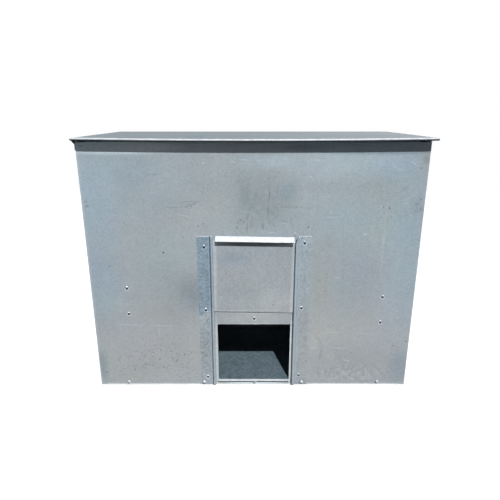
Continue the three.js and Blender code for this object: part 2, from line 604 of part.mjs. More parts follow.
// The rivets and bolts that show, each driven from its outer face.
function fasteners() {
  const list = [];
  const inwards = [0, 1, 0];
  const outwards = [0, -1, 0];
  const backFace = BACK_Y + SEAT;
  const wallFace = FRONT_Y - SEAT;
  const guideFace = FRONT_Y - SEAT - SHEET - SEAT;
  const sheets = (count) => count * (SHEET + SEAT);
  for (const side of ['left', 'right']) {
    GUIDE_RIVETS[side].forEach(([x, z], i) => {
      const grip = sheets(i === 1 ? 3 : 2);
      list.push(fastener(`${side}_guide_rivet_${i + 1}`, rivet(grip), [x, guideFace, z], inwards));
    });
    [-1, 1].forEach((end, i) => {
      const z = TIES[side].z + end * TIE_PITCH / 2;
      const grip = sheets(1) + TIE_PLATE;
      const { x } = TIES[side];
      list.push(fastener(`${side}_tie_front_rivet_${i + 1}`, rivet(grip), [x, wallFace, z], inwards));
      list.push(fastener(`${side}_tie_back_rivet_${i + 1}`, rivet(grip), [x, backFace, z], outwards));
    });
    const x = (side === 'left' ? -1 : 1) * CORNER_RIVET_X;
    const corner = rivet(sheets(2));
    list.push(fastener(`${side}_front_corner_rivet`, corner, [x, wallFace, CORNER_RIVET_Z], inwards));
    list.push(fastener(`${side}_back_corner_rivet`, corner, [x, backFace, CORNER_RIVET_Z], outwards));
    SIDE_BOLTS.forEach((y, i) => {
      const sign = side === 'left' ? -1 : 1;
      const face = sign * (WIDTH / 2 - SHEET);
      list.push(fastener(`${side}_side_bolt_${i + 1}`, bolt(sheets(2)), [face, y, BOLT_Z], [-sign, 0, 0]));
    });
  }
  list.push(fastener('hatch_header_rivet', rivet(sheets(2)), [HEADER_RIVET[0], wallFace, HEADER_RIVET[1]],
    inwards));
  FRONT_BOLTS.forEach((x, i) => {
    const onGuide = i === 1 || i === 3;
    list.push(fastener(`front_bolt_${i + 1}`, bolt(sheets(onGuide ? 3 : 2)),
      [x, onGuide ? guideFace : wallFace, BOLT_Z], inwards));
  });
  BACK_BOLTS.forEach((x, i) => {
    list.push(fastener(`back_bolt_${i + 1}`, bolt(sheets(2)), [x, backFace, BOLT_Z], outwards));
  });
  return list;
}

function hinges() {
  return HINGE_X.flatMap((x) => {
    const side = x < 0 ? 'left' : 'right';
    return [
      piece(`${side}_hinge_wall_leaf`, hingeLeaf(x, -1), BRIGHT_ZINC),
      piece(`${side}_hinge_lid_leaf`, hingeLeaf(x, 1), BRIGHT_ZINC),
      piece(`${side}_hinge_pin`, hingePin(x), BRIGHT_ZINC)];
  });
}

const bunker = new THREE.Group();
bunker.name = 'coal_bunker';
bunker.add(
  piece('front_panel', frontPanel(), GALVANISED),
  piece('back_panel', backPanel(), GALVANISED),
  piece('left_side_panel', sidePanel(-1), GALVANISED),
  piece('right_side_panel', sidePanel(1), GALVANISED),
  piece('left_front_corner_bracket', cornerBracket(-1, -1), INNER_SHEET),
  piece('right_front_corner_bracket', cornerBracket(1, -1), INNER_SHEET),
  piece('left_back_corner_bracket', cornerBracket(-1, 1), INNER_SHEET),
  piece('right_back_corner_bracket', cornerBracket(1, 1), INNER_SHEET),
  piece('left_floor_tray', floorTray(-TRAY_END, -TRAY_SEAM - SEAT / 2), INNER_SHEET),
  piece('middle_floor_tray', floorTray(-TRAY_SEAM + SEAT / 2, TRAY_SEAM - SEAT / 2), INNER_SHEET),
  piece('right_floor_tray', floorTray(TRAY_SEAM + SEAT / 2, TRAY_END), INNER_SHEET),
  piece('left_guide', slideGuide(-1), SPANGLED),
  piece('right_guide', slideGuide(1), SPANGLED),
  piece('hatch_door', hatchDoor(), DOOR_SHEET),
  piece('hatch_header', hatchHeader(), INNER_SHEET),
  piece('left_tie_bar', tieBar(TIES.left), INNER_SHEET),
  piece('right_tie_bar', tieBar(TIES.right), INNER_SHEET),
  piece('lid', lid(), GALVANISED),
  ...hinges(),
  ...fasteners(),
);

export default bunker;
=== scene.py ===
"""A galvanised sheet-steel coal bunker, put together in the order in which the real one is: floor trays,
walls, ties, hatch, lid and hinges, and then the rivets and bolts. The frame is in metres, +X right, +Y
back, +Z up. The new pieces are worked out in millimetres and scaled as they are made."""
import math

import bpy
import numpy as np
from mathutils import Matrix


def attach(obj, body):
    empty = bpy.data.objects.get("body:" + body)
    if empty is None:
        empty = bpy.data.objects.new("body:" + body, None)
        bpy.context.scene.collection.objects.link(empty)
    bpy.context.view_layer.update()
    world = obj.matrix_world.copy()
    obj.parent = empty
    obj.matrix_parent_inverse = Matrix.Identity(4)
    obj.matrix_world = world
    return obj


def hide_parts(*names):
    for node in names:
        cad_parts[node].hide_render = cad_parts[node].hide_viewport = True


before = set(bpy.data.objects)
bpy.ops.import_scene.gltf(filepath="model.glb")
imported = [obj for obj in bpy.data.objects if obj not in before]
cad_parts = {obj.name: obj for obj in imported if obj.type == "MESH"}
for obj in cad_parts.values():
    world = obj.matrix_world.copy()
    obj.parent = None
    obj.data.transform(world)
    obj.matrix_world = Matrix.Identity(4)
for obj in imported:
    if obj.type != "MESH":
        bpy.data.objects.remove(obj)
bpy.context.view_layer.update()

# Viewpoint. The photograph looks down by 14.7 degrees from 0.75 m above the ground, about 1.1 m in front
# of the hatch and just left of the middle, through a wide lens.
PHOTO_SIDE = 500
FOCAL_PIXELS = 378
SENSOR_WIDTH = 36
scene = bpy.context.scene
camera_data = bpy.data.cameras.new("viewpoint")
camera_data.sensor_width = SENSOR_WIDTH
camera_data.lens = FOCAL_PIXELS / PHOTO_SIDE * SENSOR_WIDTH
camera = bpy.data.objects.new("viewpoint", camera_data)
camera.location = (-0.0094, -1.2872, 0.7479)
camera.rotation_euler = (math.radians(90 - 14.69), 0, 0)
scene.collection.objects.link(camera)
scene.camera = camera
scene.view_settings.view_transform = "Standard"

# Daylight. One strong lamp stands for the sun, 47 degrees up and 13 degrees to the right of the camera,
# so the lid throws its band of shadow on the front. A wide soft one stands for bright sky behind. A weak,
# slightly blue sky fills the rest, and the camera, gloss and glass see it as white.
CHANNELS = ("Red", "Green", "Blue")
for name, energy, width, height, azimuth, place in (("sun", 3.9, 1.2, 47, 13, (0.6, -2.5, 3.0)),
                                                    ("bright_sky", 0.65, 50, 30, 150, (1.4, 2.5, 1.7))):
    lamp_data = bpy.data.lights.new(name, "SUN")
    lamp_data.energy = energy
    lamp_data.angle = math.radians(width)
    lamp = bpy.data.objects.new(name, lamp_data)
    lamp.rotation_euler = (math.radians(90 - height), 0, math.radians(azimuth))
    lamp.location = place
    scene.collection.objects.link(lamp)


def add_node(tree, kind, inputs, **settings):
    """A shader node. The settings are its own choices. The inputs give each of its sockets, by name or
    number, a value or the output of another node."""
    node = tree.nodes.new("ShaderNode" + kind)
    for key, value in settings.items():
        setattr(node, key, value)
    for key, value in inputs.items():
        if isinstance(value, bpy.types.NodeSocket):
            tree.links.new(value, node.inputs[key])
        else:
            node.inputs[key].default_value = value
    return node


def light_switch(tree, off, on):
    """A value that is `on` for camera, glossy and transmitted rays, and `off` for the rest."""
    path = tree.nodes.new("ShaderNodeLightPath").outputs
    seen = path["Is Camera Ray"]
    for other in ("Is Glossy Ray", "Is Transmission Ray"):
        seen = add_node(tree, "Math", {0: seen, 1: path[other]}, operation="MAXIMUM").outputs[0]
    return add_node(tree, "MapRange", {"To Min": off, "To Max": on, "Value": seen}).outputs["Result"]


world = bpy.data.worlds.new("studio")
scene.world = world
world.use_nodes = True
tree = world.node_tree
tree.nodes.clear()
fill = [light_switch(tree, dim, 1.0) for dim in (0.10, 0.113, 0.14)]
hue = add_node(tree, "CombineColor", dict(zip(CHANNELS, fill)))
sky = add_node(tree, "Background", {"Color": hue.outputs[0]})
add_node(tree, "OutputWorld", {"Surface": sky.outputs[0]})

# The floor under the bunker is a plain pale plane, 12 m across. The camera sees it as white as the sky,
# and it keeps the bunker's shadow. It throws only a little light back up.
FLOOR_HALF = 6.0
floor_mesh = bpy.data.meshes.new("studio_floor")
floor_mesh.from_pydata([(-FLOOR_HALF, -FLOOR_HALF, 0), (FLOOR_HALF, -FLOOR_HALF, 0),
                        (FLOOR_HALF, FLOOR_HALF, 0), (-FLOOR_HALF, FLOOR_HALF, 0)], [], [(0, 1, 2, 3)])
floor = bpy.data.objects.new("studio_floor", floor_mesh)
scene.collection.objects.link(floor)
floor_paint = bpy.data.materials.new("studio_floor")
floor_paint.use_nodes = True
tree = floor_paint.node_tree
shader = tree.nodes["Principled BSDF"]
shader.inputs["Roughness"].default_value = 0.9
shader.inputs["Specular IOR Level"].default_value = 0.0
shader.inputs["Emission Color"].default_value = (1, 1, 1, 1)
pale = add_node(tree, "CombineColor", dict.fromkeys(CHANNELS, light_switch(tree, 0.12, 1.0)))
tree.links.new(pale.outputs[0], shader.inputs["Base Color"])
tree.links.new(light_switch(tree, 0.0, 0.1), shader.inputs["Emission Strength"])
floor.data.materials.append(floor_paint)

# Floor trays. Three galvanised trays side by side, each with its edges folded down by 18 mm and bolted
# to the walls, so that the coal stands clear of the ground. They are dull and dusted with coal.
SHEET = 1.2
GAP = 0.3
BEND = 1.6
HALF_WIDTH = 500
FRONT_Y = -190
BACK_Y = 210
FLOOR_Z = 20
TRAY_FOOT = 2
TRAY_END = HALF_WIDTH - 2 * SHEET - 2 * GAP
TRAY_SEAM = 168
TRAY_BEND = 1.2
METRES = 0.001
TINY = 1e-6


def bent_line(corners, bends, spacing, steps=5):
    """A line through the corners, each rounded to its bend radius: the arc begins bend x tan(half the
    turn) before the corner and turns evenly round its centre. Straights are cut into equal parts no
    longer than the spacing. Returns the points, and 1 for those on an arc and 0 for the others."""
    corners = [np.array(corner, float) for corner in corners]
    if isinstance(bends, (int, float)):
        bends = [bends] * (len(corners) - 2)
    points, folded = [corners[0]], [0.0]

    def straight_to(end):
        start = points[-1]
        length = np.linalg.norm(end - start)
        if length < 1e-4:
            return
        count = max(1, math.ceil(length / spacing))
        for k in range(1, count + 1):
            points.append(start + (end - start) * k / count)
            folded.append(0.0)

    for before, corner, after, bend in zip(corners, corners[1:], corners[2:], bends):
        into = (corner - before) / np.linalg.norm(corner - before)
        out = (after - corner) / np.linalg.norm(after - corner)
        turn = math.atan2(into[0] * out[1] - into[1] * out[0], into @ out)
        if abs(turn) < TINY:
            straight_to(corner)
            continue
        start = corner - into * bend * math.tan(abs(turn) / 2)
        straight_to(start)
        centre = start + math.copysign(bend, turn) * np.array([-into[1], into[0]])
        spoke = start - centre
        for k in range(1, steps + 1):
            c, s = math.cos(turn * k / steps), math.sin(turn * k / steps)
            points.append(centre + np.array([c * spoke[0] - s * spoke[1], s * spoke[0] + c * spoke[1]]))
            folded.append(1.0 if k < steps else 0.4)
    straight_to(corners[-1])
    return np.array(points), np.array(folded)


def skin(outer, inner, keep, worn):
    """A closed shell between two equal grids of points. Kept cells are filled on both, and each side of
    a kept cell that has no kept neighbour gets an edge strip from one grid to the other."""
    across = outer.shape[1]
    count = outer.shape[0] * across
    i, j = np.nonzero(keep)
    a = i * across + j
    b, c, d = a + across, a + across + 1, a + 1
    quads = [np.stack([a, b, c, d], 1), np.stack([d, c, b, a], 1) + count]
    ringed = np.pad(keep, 1)
    sides = (((-1, 0), a, d), ((1, 0), c, b), ((0, -1), b, a), ((0, 1), d, c))
    for (step_i, step_j), start, end in sides:
        rubbed_and_highlit = ~ringed[i + 1 + step_i, j + 1 + step_j]
        p, q = start[rubbed_and_highlit], end[rubbed_and_highlit]
        quads.append(np.stack([p, q, q + count, p + count], 1))
    kind = np.concatenate([np.full(len(part), min(k, 2)) for k, part in enumerate(quads)])
    used, index = np.unique(np.concatenate(quads), return_inverse=True)
    points = np.concatenate([outer.reshape(-1, 3), inner.reshape(-1, 3)])[used]
    return {"points": points, "quads": index.reshape(-1, 4), "tris": np.zeros((0, 3), int), "kind": kind,
            "worn": np.tile(worn.reshape(-1), 2)[used]}


def sheet(middle, keep=None, worn=None):
    """A bent sheet: its middle surface, a grid of points, is moved half the thickness either way along
    its normal, which is the cross product of the grid's two directions made one long."""
    along, across = np.gradient(middle, axis=0), np.gradient(middle, axis=1)
    normal = np.cross(along, across)
    normal /= np.maximum(np.linalg.norm(normal, axis=2, keepdims=True), 1e-9)
    if keep is None:
        keep = np.ones((middle.shape[0] - 1, middle.shape[1] - 1), bool)
    if worn is None:
        worn = np.zeros(middle.shape[:2])
    return skin(middle + normal * SHEET / 2, middle - normal * SHEET / 2, keep, worn)


def surface(x, y, z):
    """A grid of points from its three coordinates, each a number, a row, a column or a whole grid."""
    return np.stack(np.broadcast_arrays(x, y, z), 2).astype(float)


def turned(profile, centre, axis, around, closed=False, worn=0.0):
    """A turned solid. The profile lists (radius, distance along the axis) from pole to pole, and each
    point between is swept into a ring. A closed profile is a loop away from the axis, as of a tube."""
    profile = np.array(profile, float)
    axis = np.array(axis, float)
    if not closed and profile[0, 1] > profile[-1, 1]:
        profile = profile[::-1]
    side = np.cross(axis, (0, 0, 1) if abs(axis[2]) < 0.9 else (1, 0, 0))
    side /= np.linalg.norm(side)
    angle = np.arange(around) * math.tau / around
    ring = np.cos(angle)[:, None] * side + np.sin(angle)[:, None] * np.cross(axis, side)
    body = profile if closed else profile[1:-1]
    points = (body[:, 1, None, None] * axis + body[:, 0, None, None] * ring).reshape(-1, 3)
    rows = len(body)
    i, j = np.meshgrid(np.arange(rows if closed else rows - 1), np.arange(around), indexing="ij")
    a, b = (i * around + j).ravel(), (i * around + (j + 1) % around).ravel()
    c, d = ((i + 1) % rows * around + (j + 1) % around).ravel(), ((i + 1) % rows * around + j).ravel()
    tris = np.zeros((0, 3), int)
    if not closed:
        points = np.concatenate([points, [profile[0, 1] * axis], [profile[-1, 1] * axis]])
        k = np.arange(around)
        after, top = (k + 1) % around, (rows - 1) * around
        low, high = np.full(around, rows * around), np.full(around, rows * around + 1)
        tris = np.concatenate([np.stack([low, after, k], 1), np.stack([high, top + k, top + after], 1)])
    return {"points": points + np.array(centre, float), "quads": np.stack([a, b, c, d], 1), "tris": tris,
            "kind": np.zeros(len(a), int), "worn": np.full(len(points), worn)}


def make_piece(name, shells, materials, slot, body, *nodes):
    """One object at the origin out of closed shells, in place of the CAD nodes. Three materials are for
    its outer faces, inner faces and cut edges, two for faces and cut edges. An attribute on its points is 1
    where folds are rubbed bright and where highlights are painted, and -1 where shade is painted."""
    points, quads, tris, offset = [], [], [], 0
    for shell in shells:
        points.append(shell["points"])
        quads.append(shell["quads"] + offset)
        tris.append(shell["tris"] + offset)
        offset += len(shell["points"])
    mesh = bpy.data.meshes.new(name)
    faces = np.concatenate(quads).tolist() + np.concatenate(tris).tolist()
    mesh.from_pydata((np.concatenate(points) * METRES).tolist(), [], faces)
    for material in materials:
        mesh.materials.append(material)
    kinds = np.concatenate([shell["kind"] for shell in shells] + [np.zeros(sum(map(len, tris)), int)])
    choice = np.array(((0, 0, 0), (0, 0, 1), (0, 1, 2)))[len(materials) - 1]
    mesh.polygons.foreach_set("material_index", choice[kinds])
    worn = mesh.attributes.new("worn", "FLOAT", "POINT")
    worn.data.foreach_set("value", np.concatenate([shell["worn"] for shell in shells]))
    mesh.shade_smooth()
    mesh.set_sharp_from_angle(angle=math.radians(38))
    piece = bpy.data.objects.new(name, mesh)
    scene.collection.objects.link(piece)
    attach(piece, body)
    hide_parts(*nodes)


def group_with(name, inputs, outputs):
    """A new shader node group with the given (name, kind, value) inputs and (name, kind) outputs."""
    tree = bpy.data.node_groups.new(name, "ShaderNodeTree")
    for label, kind, value in inputs:
        socket = tree.interface.new_socket(label, in_out="INPUT", socket_type="NodeSocket" + kind)
        socket.default_value = value
    for label, kind in outputs:
        tree.interface.new_socket(label, in_out="OUTPUT", socket_type="NodeSocket" + kind)
    return tree, tree.nodes.new("NodeGroupInput"), tree.nodes.new("NodeGroupOutput")


def maths(tree, operation, *values, clamp=False):
    """A math node: its inputs are numbers or sockets."""
    return add_node(tree, "Math", dict(enumerate(values)), operation=operation, use_clamp=clamp).outputs[0]


def scaled(tree, value, factor, base):
    """The value x the factor + the base, each of them a number or a socket."""
    return maths(tree, "MULTIPLY_ADD", value, factor, base)


def blend_colours(tree, factor, a, b, mode="MIX"):
    """A colour mix node: factor, a and b are values or sockets."""
    a, b = [(*value, 1) if isinstance(value, tuple) else value for value in (a, b)]
    return add_node(tree, "Mix", {"Factor": factor, "A": a, "B": b}, data_type="RGBA",
                    blend_type=mode).outputs["Result"]


def noise(tree, place, scale, detail=3.0, roughness=0.55, squeeze=(1, 1, 1), output="Fac"):
    """Fractal noise over the object's own coordinates, squeezed along any axis."""
    place = add_node(tree, "Mapping", {"Scale": squeeze, "Vector": place}).outputs["Vector"]
    return add_node(tree, "TexNoise", {"Scale": scale, "Detail": detail, "Roughness": roughness,
                                       "Vector": place}).outputs[output]


def ramp(tree, value, low, high, to_low=0.0, to_high=1.0):
    """A smooth step of a value from low to high."""
    limits = {"From Min": low, "From Max": high, "To Min": to_low, "To Max": to_high}
    return add_node(tree, "MapRange", {**limits, "Value": value},
                    interpolation_type="SMOOTHSTEP").outputs["Result"]


def crystals(tree, place, scale):
    """The random colour of each cell of a Voronoi pattern, as three values."""
    cells = add_node(tree, "TexVoronoi", {"Vector": place, "Scale": scale})
    return add_node(tree, "SeparateColor", {0: cells.outputs["Color"]}).outputs


def build_zinc_group():
    """Weathered zinc on rolled sheet. Tone = cool above to warm below, times 1 + strength x (pattern -
    its mean) for cloudy patches, streaks, fine grain and the crystals of the zinc at two sizes. Dark
    pits are the few crystals of a fine pattern whose random value is above 0.993."""
    tree, given, made = group_with("weathered_zinc", [
        ("Cool", "Color", (0.33, 0.39, 0.42, 1)), ("Warm", "Color", (0.36, 0.39, 0.40, 1)),
        ("Warm Below", "Float", 0.3), ("Clouds", "Float", 0.2), ("Grain", "Float", 0.2),
        ("Streaks", "Float", 0.1), ("Grain Size", "Float", 300.0), ("Roughness", "Float", 0.5),
    ], [("Color", "Color"), ("Roughness", "Float"), ("Height", "Float")])
    place = tree.nodes.new("ShaderNodeTexCoord").outputs["Object"]
    rise = add_node(tree, "SeparateXYZ", {0: place}).outputs["Z"]
    hue = noise(tree, place, 5.0, 3, 0.6, output="Color")
    hue = blend_colours(tree, 1.0, hue, (2.0, 2.0, 2.0), "MULTIPLY")
    hue = blend_colours(tree, 0.05, (1.0, 1.0, 1.0), hue)
    drift = noise(tree, place, 3.2, 4, 0.6)
    height = maths(tree, "ADD", rise, scaled(tree, drift, 0.5, -0.25))
    above = maths(tree, "DIVIDE", height, given.outputs["Warm Below"])
    tone = blend_colours(tree, ramp(tree, above, 0.55, 1.9), given.outputs["Warm"], given.outputs["Cool"])
    patches = noise(tree, place, 4.0, 4, 0.55)
    fine_patches = noise(tree, place, 42.0, 4, 0.7)
    clouds = scaled(tree, patches, 0.9, -0.575)
    clouds = scaled(tree, fine_patches, 0.25, clouds)
    streak = noise(tree, place, 9.0, 4, 0.6, squeeze=(9, 9, 0.6))
    speck = noise(tree, place, 900.0, 2, 0.5)
    small = crystals(tree, place, given.outputs["Grain Size"])
    large = crystals(tree, place, 75.0)
    pits = ramp(tree, crystals(tree, place, 290.0)["Blue"], 0.993, 0.998)
    level = scaled(tree, clouds, given.outputs["Clouds"], 1.0)
    streak = maths(tree, "SUBTRACT", streak, 0.5)
    level = scaled(tree, streak, given.outputs["Streaks"], level)
    grain = maths(tree, "SUBTRACT", small["Red"], 0.5)
    mixed = maths(tree, "SUBTRACT", large["Red"], 0.5)
    mixed = scaled(tree, mixed, 0.3, scaled(tree, speck, 1.4, -0.7))
    level = scaled(tree, maths(tree, "ADD", grain, mixed), given.outputs["Grain"], level)
    level = scaled(tree, pits, -0.18, level)
    grey = add_node(tree, "CombineColor", dict.fromkeys(CHANNELS, level))
    tone = blend_colours(tree, 1.0, tone, hue, "MULTIPLY")
    tree.links.new(blend_colours(tree, 1.0, tone, grey.outputs[0], "MULTIPLY"), made.inputs["Color"])
    gloss = scaled(tree, grain, 0.12, given.outputs["Roughness"])
    tree.links.new(scaled(tree, clouds, 0.25, gloss), made.inputs["Roughness"])
    swell = noise(tree, place, 4.5, 1, 0.4)
    relief = scaled(tree, small["Green"], 0.00003, maths(tree, "MULTIPLY", swell, 0.004))
    tree.links.new(relief, made.inputs["Height"])
    return tree


zinc_group = build_zinc_group()


def zinc_sheet(name, cool, warm, warm_below=0.3, clouds=0.2, grain=0.2, streaks=0.1, grain_size=300.0,
               roughness=0.5, metallic=0.05, specular=0.3, rubbed_and_highlight=(0.60, 0.64, 0.67), marks=None):
    """A galvanised finish: weathered_zinc, times the level and tint of a group of marks if there is one,
    then blended to the bright tone of rubbed wear and painted highlights where the point attribute is
    above 0, broken up by noise, and multiplied towards dark blue as painted shade where it is below 0.
    The bright tone is a tenth more metallic."""
    material = bpy.data.materials.new(name)
    material.use_nodes = True
    tree = material.node_tree
    zinc = add_node(tree, "Group", {
        "Cool": (*cool, 1), "Warm": (*warm, 1), "Warm Below": warm_below, "Clouds": clouds, "Grain": grain,
        "Streaks": streaks, "Grain Size": grain_size, "Roughness": roughness}, node_tree=zinc_group).outputs
    shader = tree.nodes["Principled BSDF"]
    shader.inputs["Specular IOR Level"].default_value = specular
    colour = zinc["Color"]
    if marks:
        level = add_node(tree, "Group", {}, node_tree=marks).outputs["Level"]
        colour = blend_colours(tree, 1.0, colour, level, "MULTIPLY")
    place = tree.nodes.new("ShaderNodeTexCoord").outputs["Object"]
    worn = add_node(tree, "Attribute", {}, attribute_name="worn").outputs["Fac"]
    patchy = ramp(tree, noise(tree, place, 60.0, 3), 0.3, 0.6, 0.7, 1.0)
    # Above 0 the attribute adds rubbed wear and painted highlights, below 0 it paints shade.
    rubbed_and_highlit = maths(tree, "MULTIPLY", worn, patchy, clamp=True)
    painted_shade = maths(tree, "MULTIPLY", worn, -1.0, clamp=True)
    colour = blend_colours(tree, painted_shade, colour, (0.05, 0.06, 0.08), "MULTIPLY")
    tree.links.new(blend_colours(tree, rubbed_and_highlit, colour, rubbed_and_highlight), shader.inputs["Base Color"])
    clean = maths(tree, "SUBTRACT", 1.0, painted_shade)
    metal = maths(tree, "MULTIPLY", clean, scaled(tree, rubbed_and_highlit, 0.1, metallic))
    tree.links.new(metal, shader.inputs["Metallic"])
    tree.links.new(zinc["Roughness"], shader.inputs["Roughness"])
    bump = add_node(tree, "Bump", {"Strength": 1.0, "Distance": 1.0, "Height": zinc["Height"]})
    tree.links.new(bump.outputs["Normal"], shader.inputs["Normal"])
    return material


tray_zinc = zinc_sheet("dull_tray_zinc", (0.115, 0.162, 0.195), (0.115, 0.158, 0.186), clouds=0.1, grain=0.8,
                       grain_size=420.0)
cut_edge = zinc_sheet("cut_sheet_edge", (0.52, 0.56, 0.58), (0.52, 0.55, 0.56), grain=0.3, roughness=0.4,
                      metallic=0.3)


def tray(x0, x1):
    """A tray: the top with its edges folded down. Each point drops by the sum of its drops along X and Y,
    and the corners, where both drop, are cut out."""
    drop = FLOOR_Z - SHEET / 2 - TRAY_FOOT
    front, back = FRONT_Y + SHEET + GAP + SHEET / 2, BACK_Y - SHEET - GAP - SHEET / 2
    x0, x1 = x0 + SHEET / 2, x1 - SHEET / 2
    wide, wide_fold = bent_line([(x0, -drop), (x0, 0), (x1, 0), (x1, -drop)], TRAY_BEND, 12)
    deep, deep_fold = bent_line([(front, -drop), (front, 0), (back, 0), (back, -drop)], TRAY_BEND, 12)
    level = FLOOR_Z - SHEET / 2 + wide[:, None, 1] + deep[None, :, 1]
    fallen_x, fallen_y = wide[:, 1] < -TINY, deep[:, 1] < -TINY
    cell_x, cell_y = fallen_x[:-1] | fallen_x[1:], fallen_y[:-1] | fallen_y[1:]
    keep = ~(cell_x[:, None] & cell_y[None, :])
    # Its folds are painted a little darker, as shade.
    return sheet(surface(wide[:, None, 0], deep[None, :, 0], level), keep,
                 np.maximum(wide_fold[:, None], deep_fold[None, :]) * -0.3)


for tray_name, tray_x0, tray_x1 in (("left", -TRAY_END, -TRAY_SEAM - GAP / 2),
                                    ("middle", GAP / 2 - TRAY_SEAM, TRAY_SEAM - GAP / 2),
                                    ("right", TRAY_SEAM + GAP / 2, TRAY_END)):
    make_piece(tray_name + "_tray_sheet", [tray(tray_x0, tray_x1)], [tray_zinc, cut_edge],
               "dull_inner_sheet", "bin", tray_name + "_floor_tray")

# Side walls. Galvanised sheets with a sloping hemmed top edge, their feet folded 22 mm inwards to stand
# on, and the heads of the two rivets that hold the corner brackets.
LID_SLOPE = math.radians(5)
LID_FRONT_Z = 782.7
LID_CLEARANCE, END_CLEARANCE = 0.7, 0.4
WALL_TOP = 800
SHEAR_LOW, SHEAR_HIGH = 600, 780
HEM = 10
FOOT_RETURN = 22
HEM_BEND = 0.66
BRACKET_RIVET_INSET = 21
CORNER_RIVET_X = 484
CORNER_RIVET_Z = 763
SIDES = (("left", -1), ("right", 1))


def lid_underside(y):
    """Height of the lid's underside above the front-to-back position y."""
    return LID_FRONT_Z + (y - FRONT_Y) * math.tan(LID_SLOPE)


def portion(value, start, end):
    """How far a value has come on its way from start to end, from 0 to 1."""
    return np.clip((value - start) / (end - start), 0, 1)


def head_on(centre, outward, radius=3.7, crown=1.2):
    """The head of a rivet that is one with its sheet: a dome with a flat dent in its middle."""
    profile = [(0, 0.66 * crown), (0.2 * radius, 0.68 * crown), (0.28 * radius, crown),
               (0.6 * radius, 0.86 * crown), (0.88 * radius, 0.5 * crown), (radius, 0.1), (radius, -0.4),
               (0, -0.5)]
    return turned(profile, centre, outward, around=18, worn=0.8)


sheltered_zinc = zinc_sheet("sheltered_inner_zinc", (0.43, 0.50, 0.535), (0.43, 0.49, 0.515), clouds=0.4,
                            grain=0.3, metallic=0.3)
wall_zinc = zinc_sheet("weathered_wall_zinc", (0.345, 0.405, 0.442), (0.372, 0.402, 0.415), warm_below=0.28,
                       clouds=0.3, grain=0.16, streaks=0.08)
wall_x = HALF_WIDTH - SHEET - GAP - SHEET / 2
hem_x = wall_x - 2 * HEM_BEND
top = WALL_TOP - HEM_BEND
folds, folded = bent_line(
    [(wall_x - FOOT_RETURN + SHEET, SHEET / 2), (wall_x, SHEET / 2), (wall_x, top - HEM), (wall_x, top),
     (hem_x, top), (hem_x, top - HEM)], [BEND, 0, HEM_BEND, HEM_BEND], 12)
for side_name, side in SIDES:
    run = np.linspace(FRONT_Y + SHEET + END_CLEARANCE, BACK_Y - SHEET - END_CLEARANCE, 36)[::-side]
    rise = lid_underside(run)[:, None] - LID_CLEARANCE - WALL_TOP
    level = folds[None, :, 1]
    sheared = level + rise * portion(level, SHEAR_LOW, SHEAR_HIGH)
    middle = surface(side * folds[None, :, 0], run[:, None], sheared)
    shells = [sheet(middle[::-1], worn=np.repeat(folded[None, :] * 0.6, len(run), 0))]
    for y in (FRONT_Y + BRACKET_RIVET_INSET, BACK_Y - BRACKET_RIVET_INSET):
        shells.append(head_on((side * (wall_x + SHEET / 2), y, CORNER_RIVET_Z), (side, 0, 0)))
    make_piece(side_name + "_wall_sheet", shells, [wall_zinc, sheltered_zinc, cut_edge], "galvanised_wall",
               "bin", side_name + "_side_panel")

# Back wall. One sheet with a hemmed top edge, folded 12 mm round the sides and riveted to them.
CORNER_LAP = 12
HEM_HALF = 468
SEAM_RIVETS = (60, 215, 370, 525, 680)
SEAM_INSET = 6.9


def wrap_grid(plan_corners, rise_corners, rise_bends, face_y, outward):
    """A wall folded round two corners. The plan line gives each column's place and its outward normal,
    the rise line, drawn in (y, z), gives each row's height and how far it stands out of the wall's plane.
    Returns the grid of middle points, the two lines and how far each point is into a fold."""
    plan, plan_fold = bent_line(plan_corners, BEND, 9)
    rise, rise_fold = bent_line(rise_corners, rise_bends, 9)
    tangent = np.gradient(plan, axis=0)
    tangent /= np.linalg.norm(tangent, axis=1, keepdims=True)
    stand = (rise[None, :, 0] - face_y) * outward
    middle = surface(plan[:, None, 0] + tangent[:, None, 1] * stand,
                     plan[:, None, 1] - tangent[:, None, 0] * stand, rise[None, :, 1])
    return middle, plan, rise, np.maximum(plan_fold[:, None], rise_fold[None, :])


def seam_heads(y):
    """The rivet heads down the seams at both ends of a wall."""
    return [head_on((side * HALF_WIDTH, y, seam_z), (side, 0, 0)) for seam_z in SEAM_RIVETS
            for _, side in SIDES]


back_mid = BACK_Y - SHEET / 2
back_hem = back_mid - 2 * HEM_BEND
side_mid = HALF_WIDTH - SHEET / 2
back_top = lid_underside(BACK_Y - SHEET) - END_CLEARANCE - SHEET / 2
middle, plan, rise, worn = wrap_grid(
    [(side_mid, BACK_Y - CORNER_LAP), (side_mid, back_mid), (HEM_HALF, back_mid), (-HEM_HALF, back_mid),
     (-side_mid, back_mid), (-side_mid, BACK_Y - CORNER_LAP)],
    [(back_mid, 0), (back_mid, back_top), (back_hem, back_top), (back_hem, back_top - HEM)],
    HEM_BEND, back_mid, 1)
inside = np.abs((plan[:-1, 0] + plan[1:, 0]) / 2) < HEM_HALF
hem_rows = rise[1:, 0] < back_mid - TINY
keep = ~(hem_rows[None, :] & ~inside[:, None])
shells = [sheet(middle, keep, worn * 0.6), *seam_heads(BACK_Y - SEAM_INSET)]
make_piece("back_wall_sheet", shells, [wall_zinc, sheltered_zinc, cut_edge], "galvanised_wall", "bin",
           "back_panel")

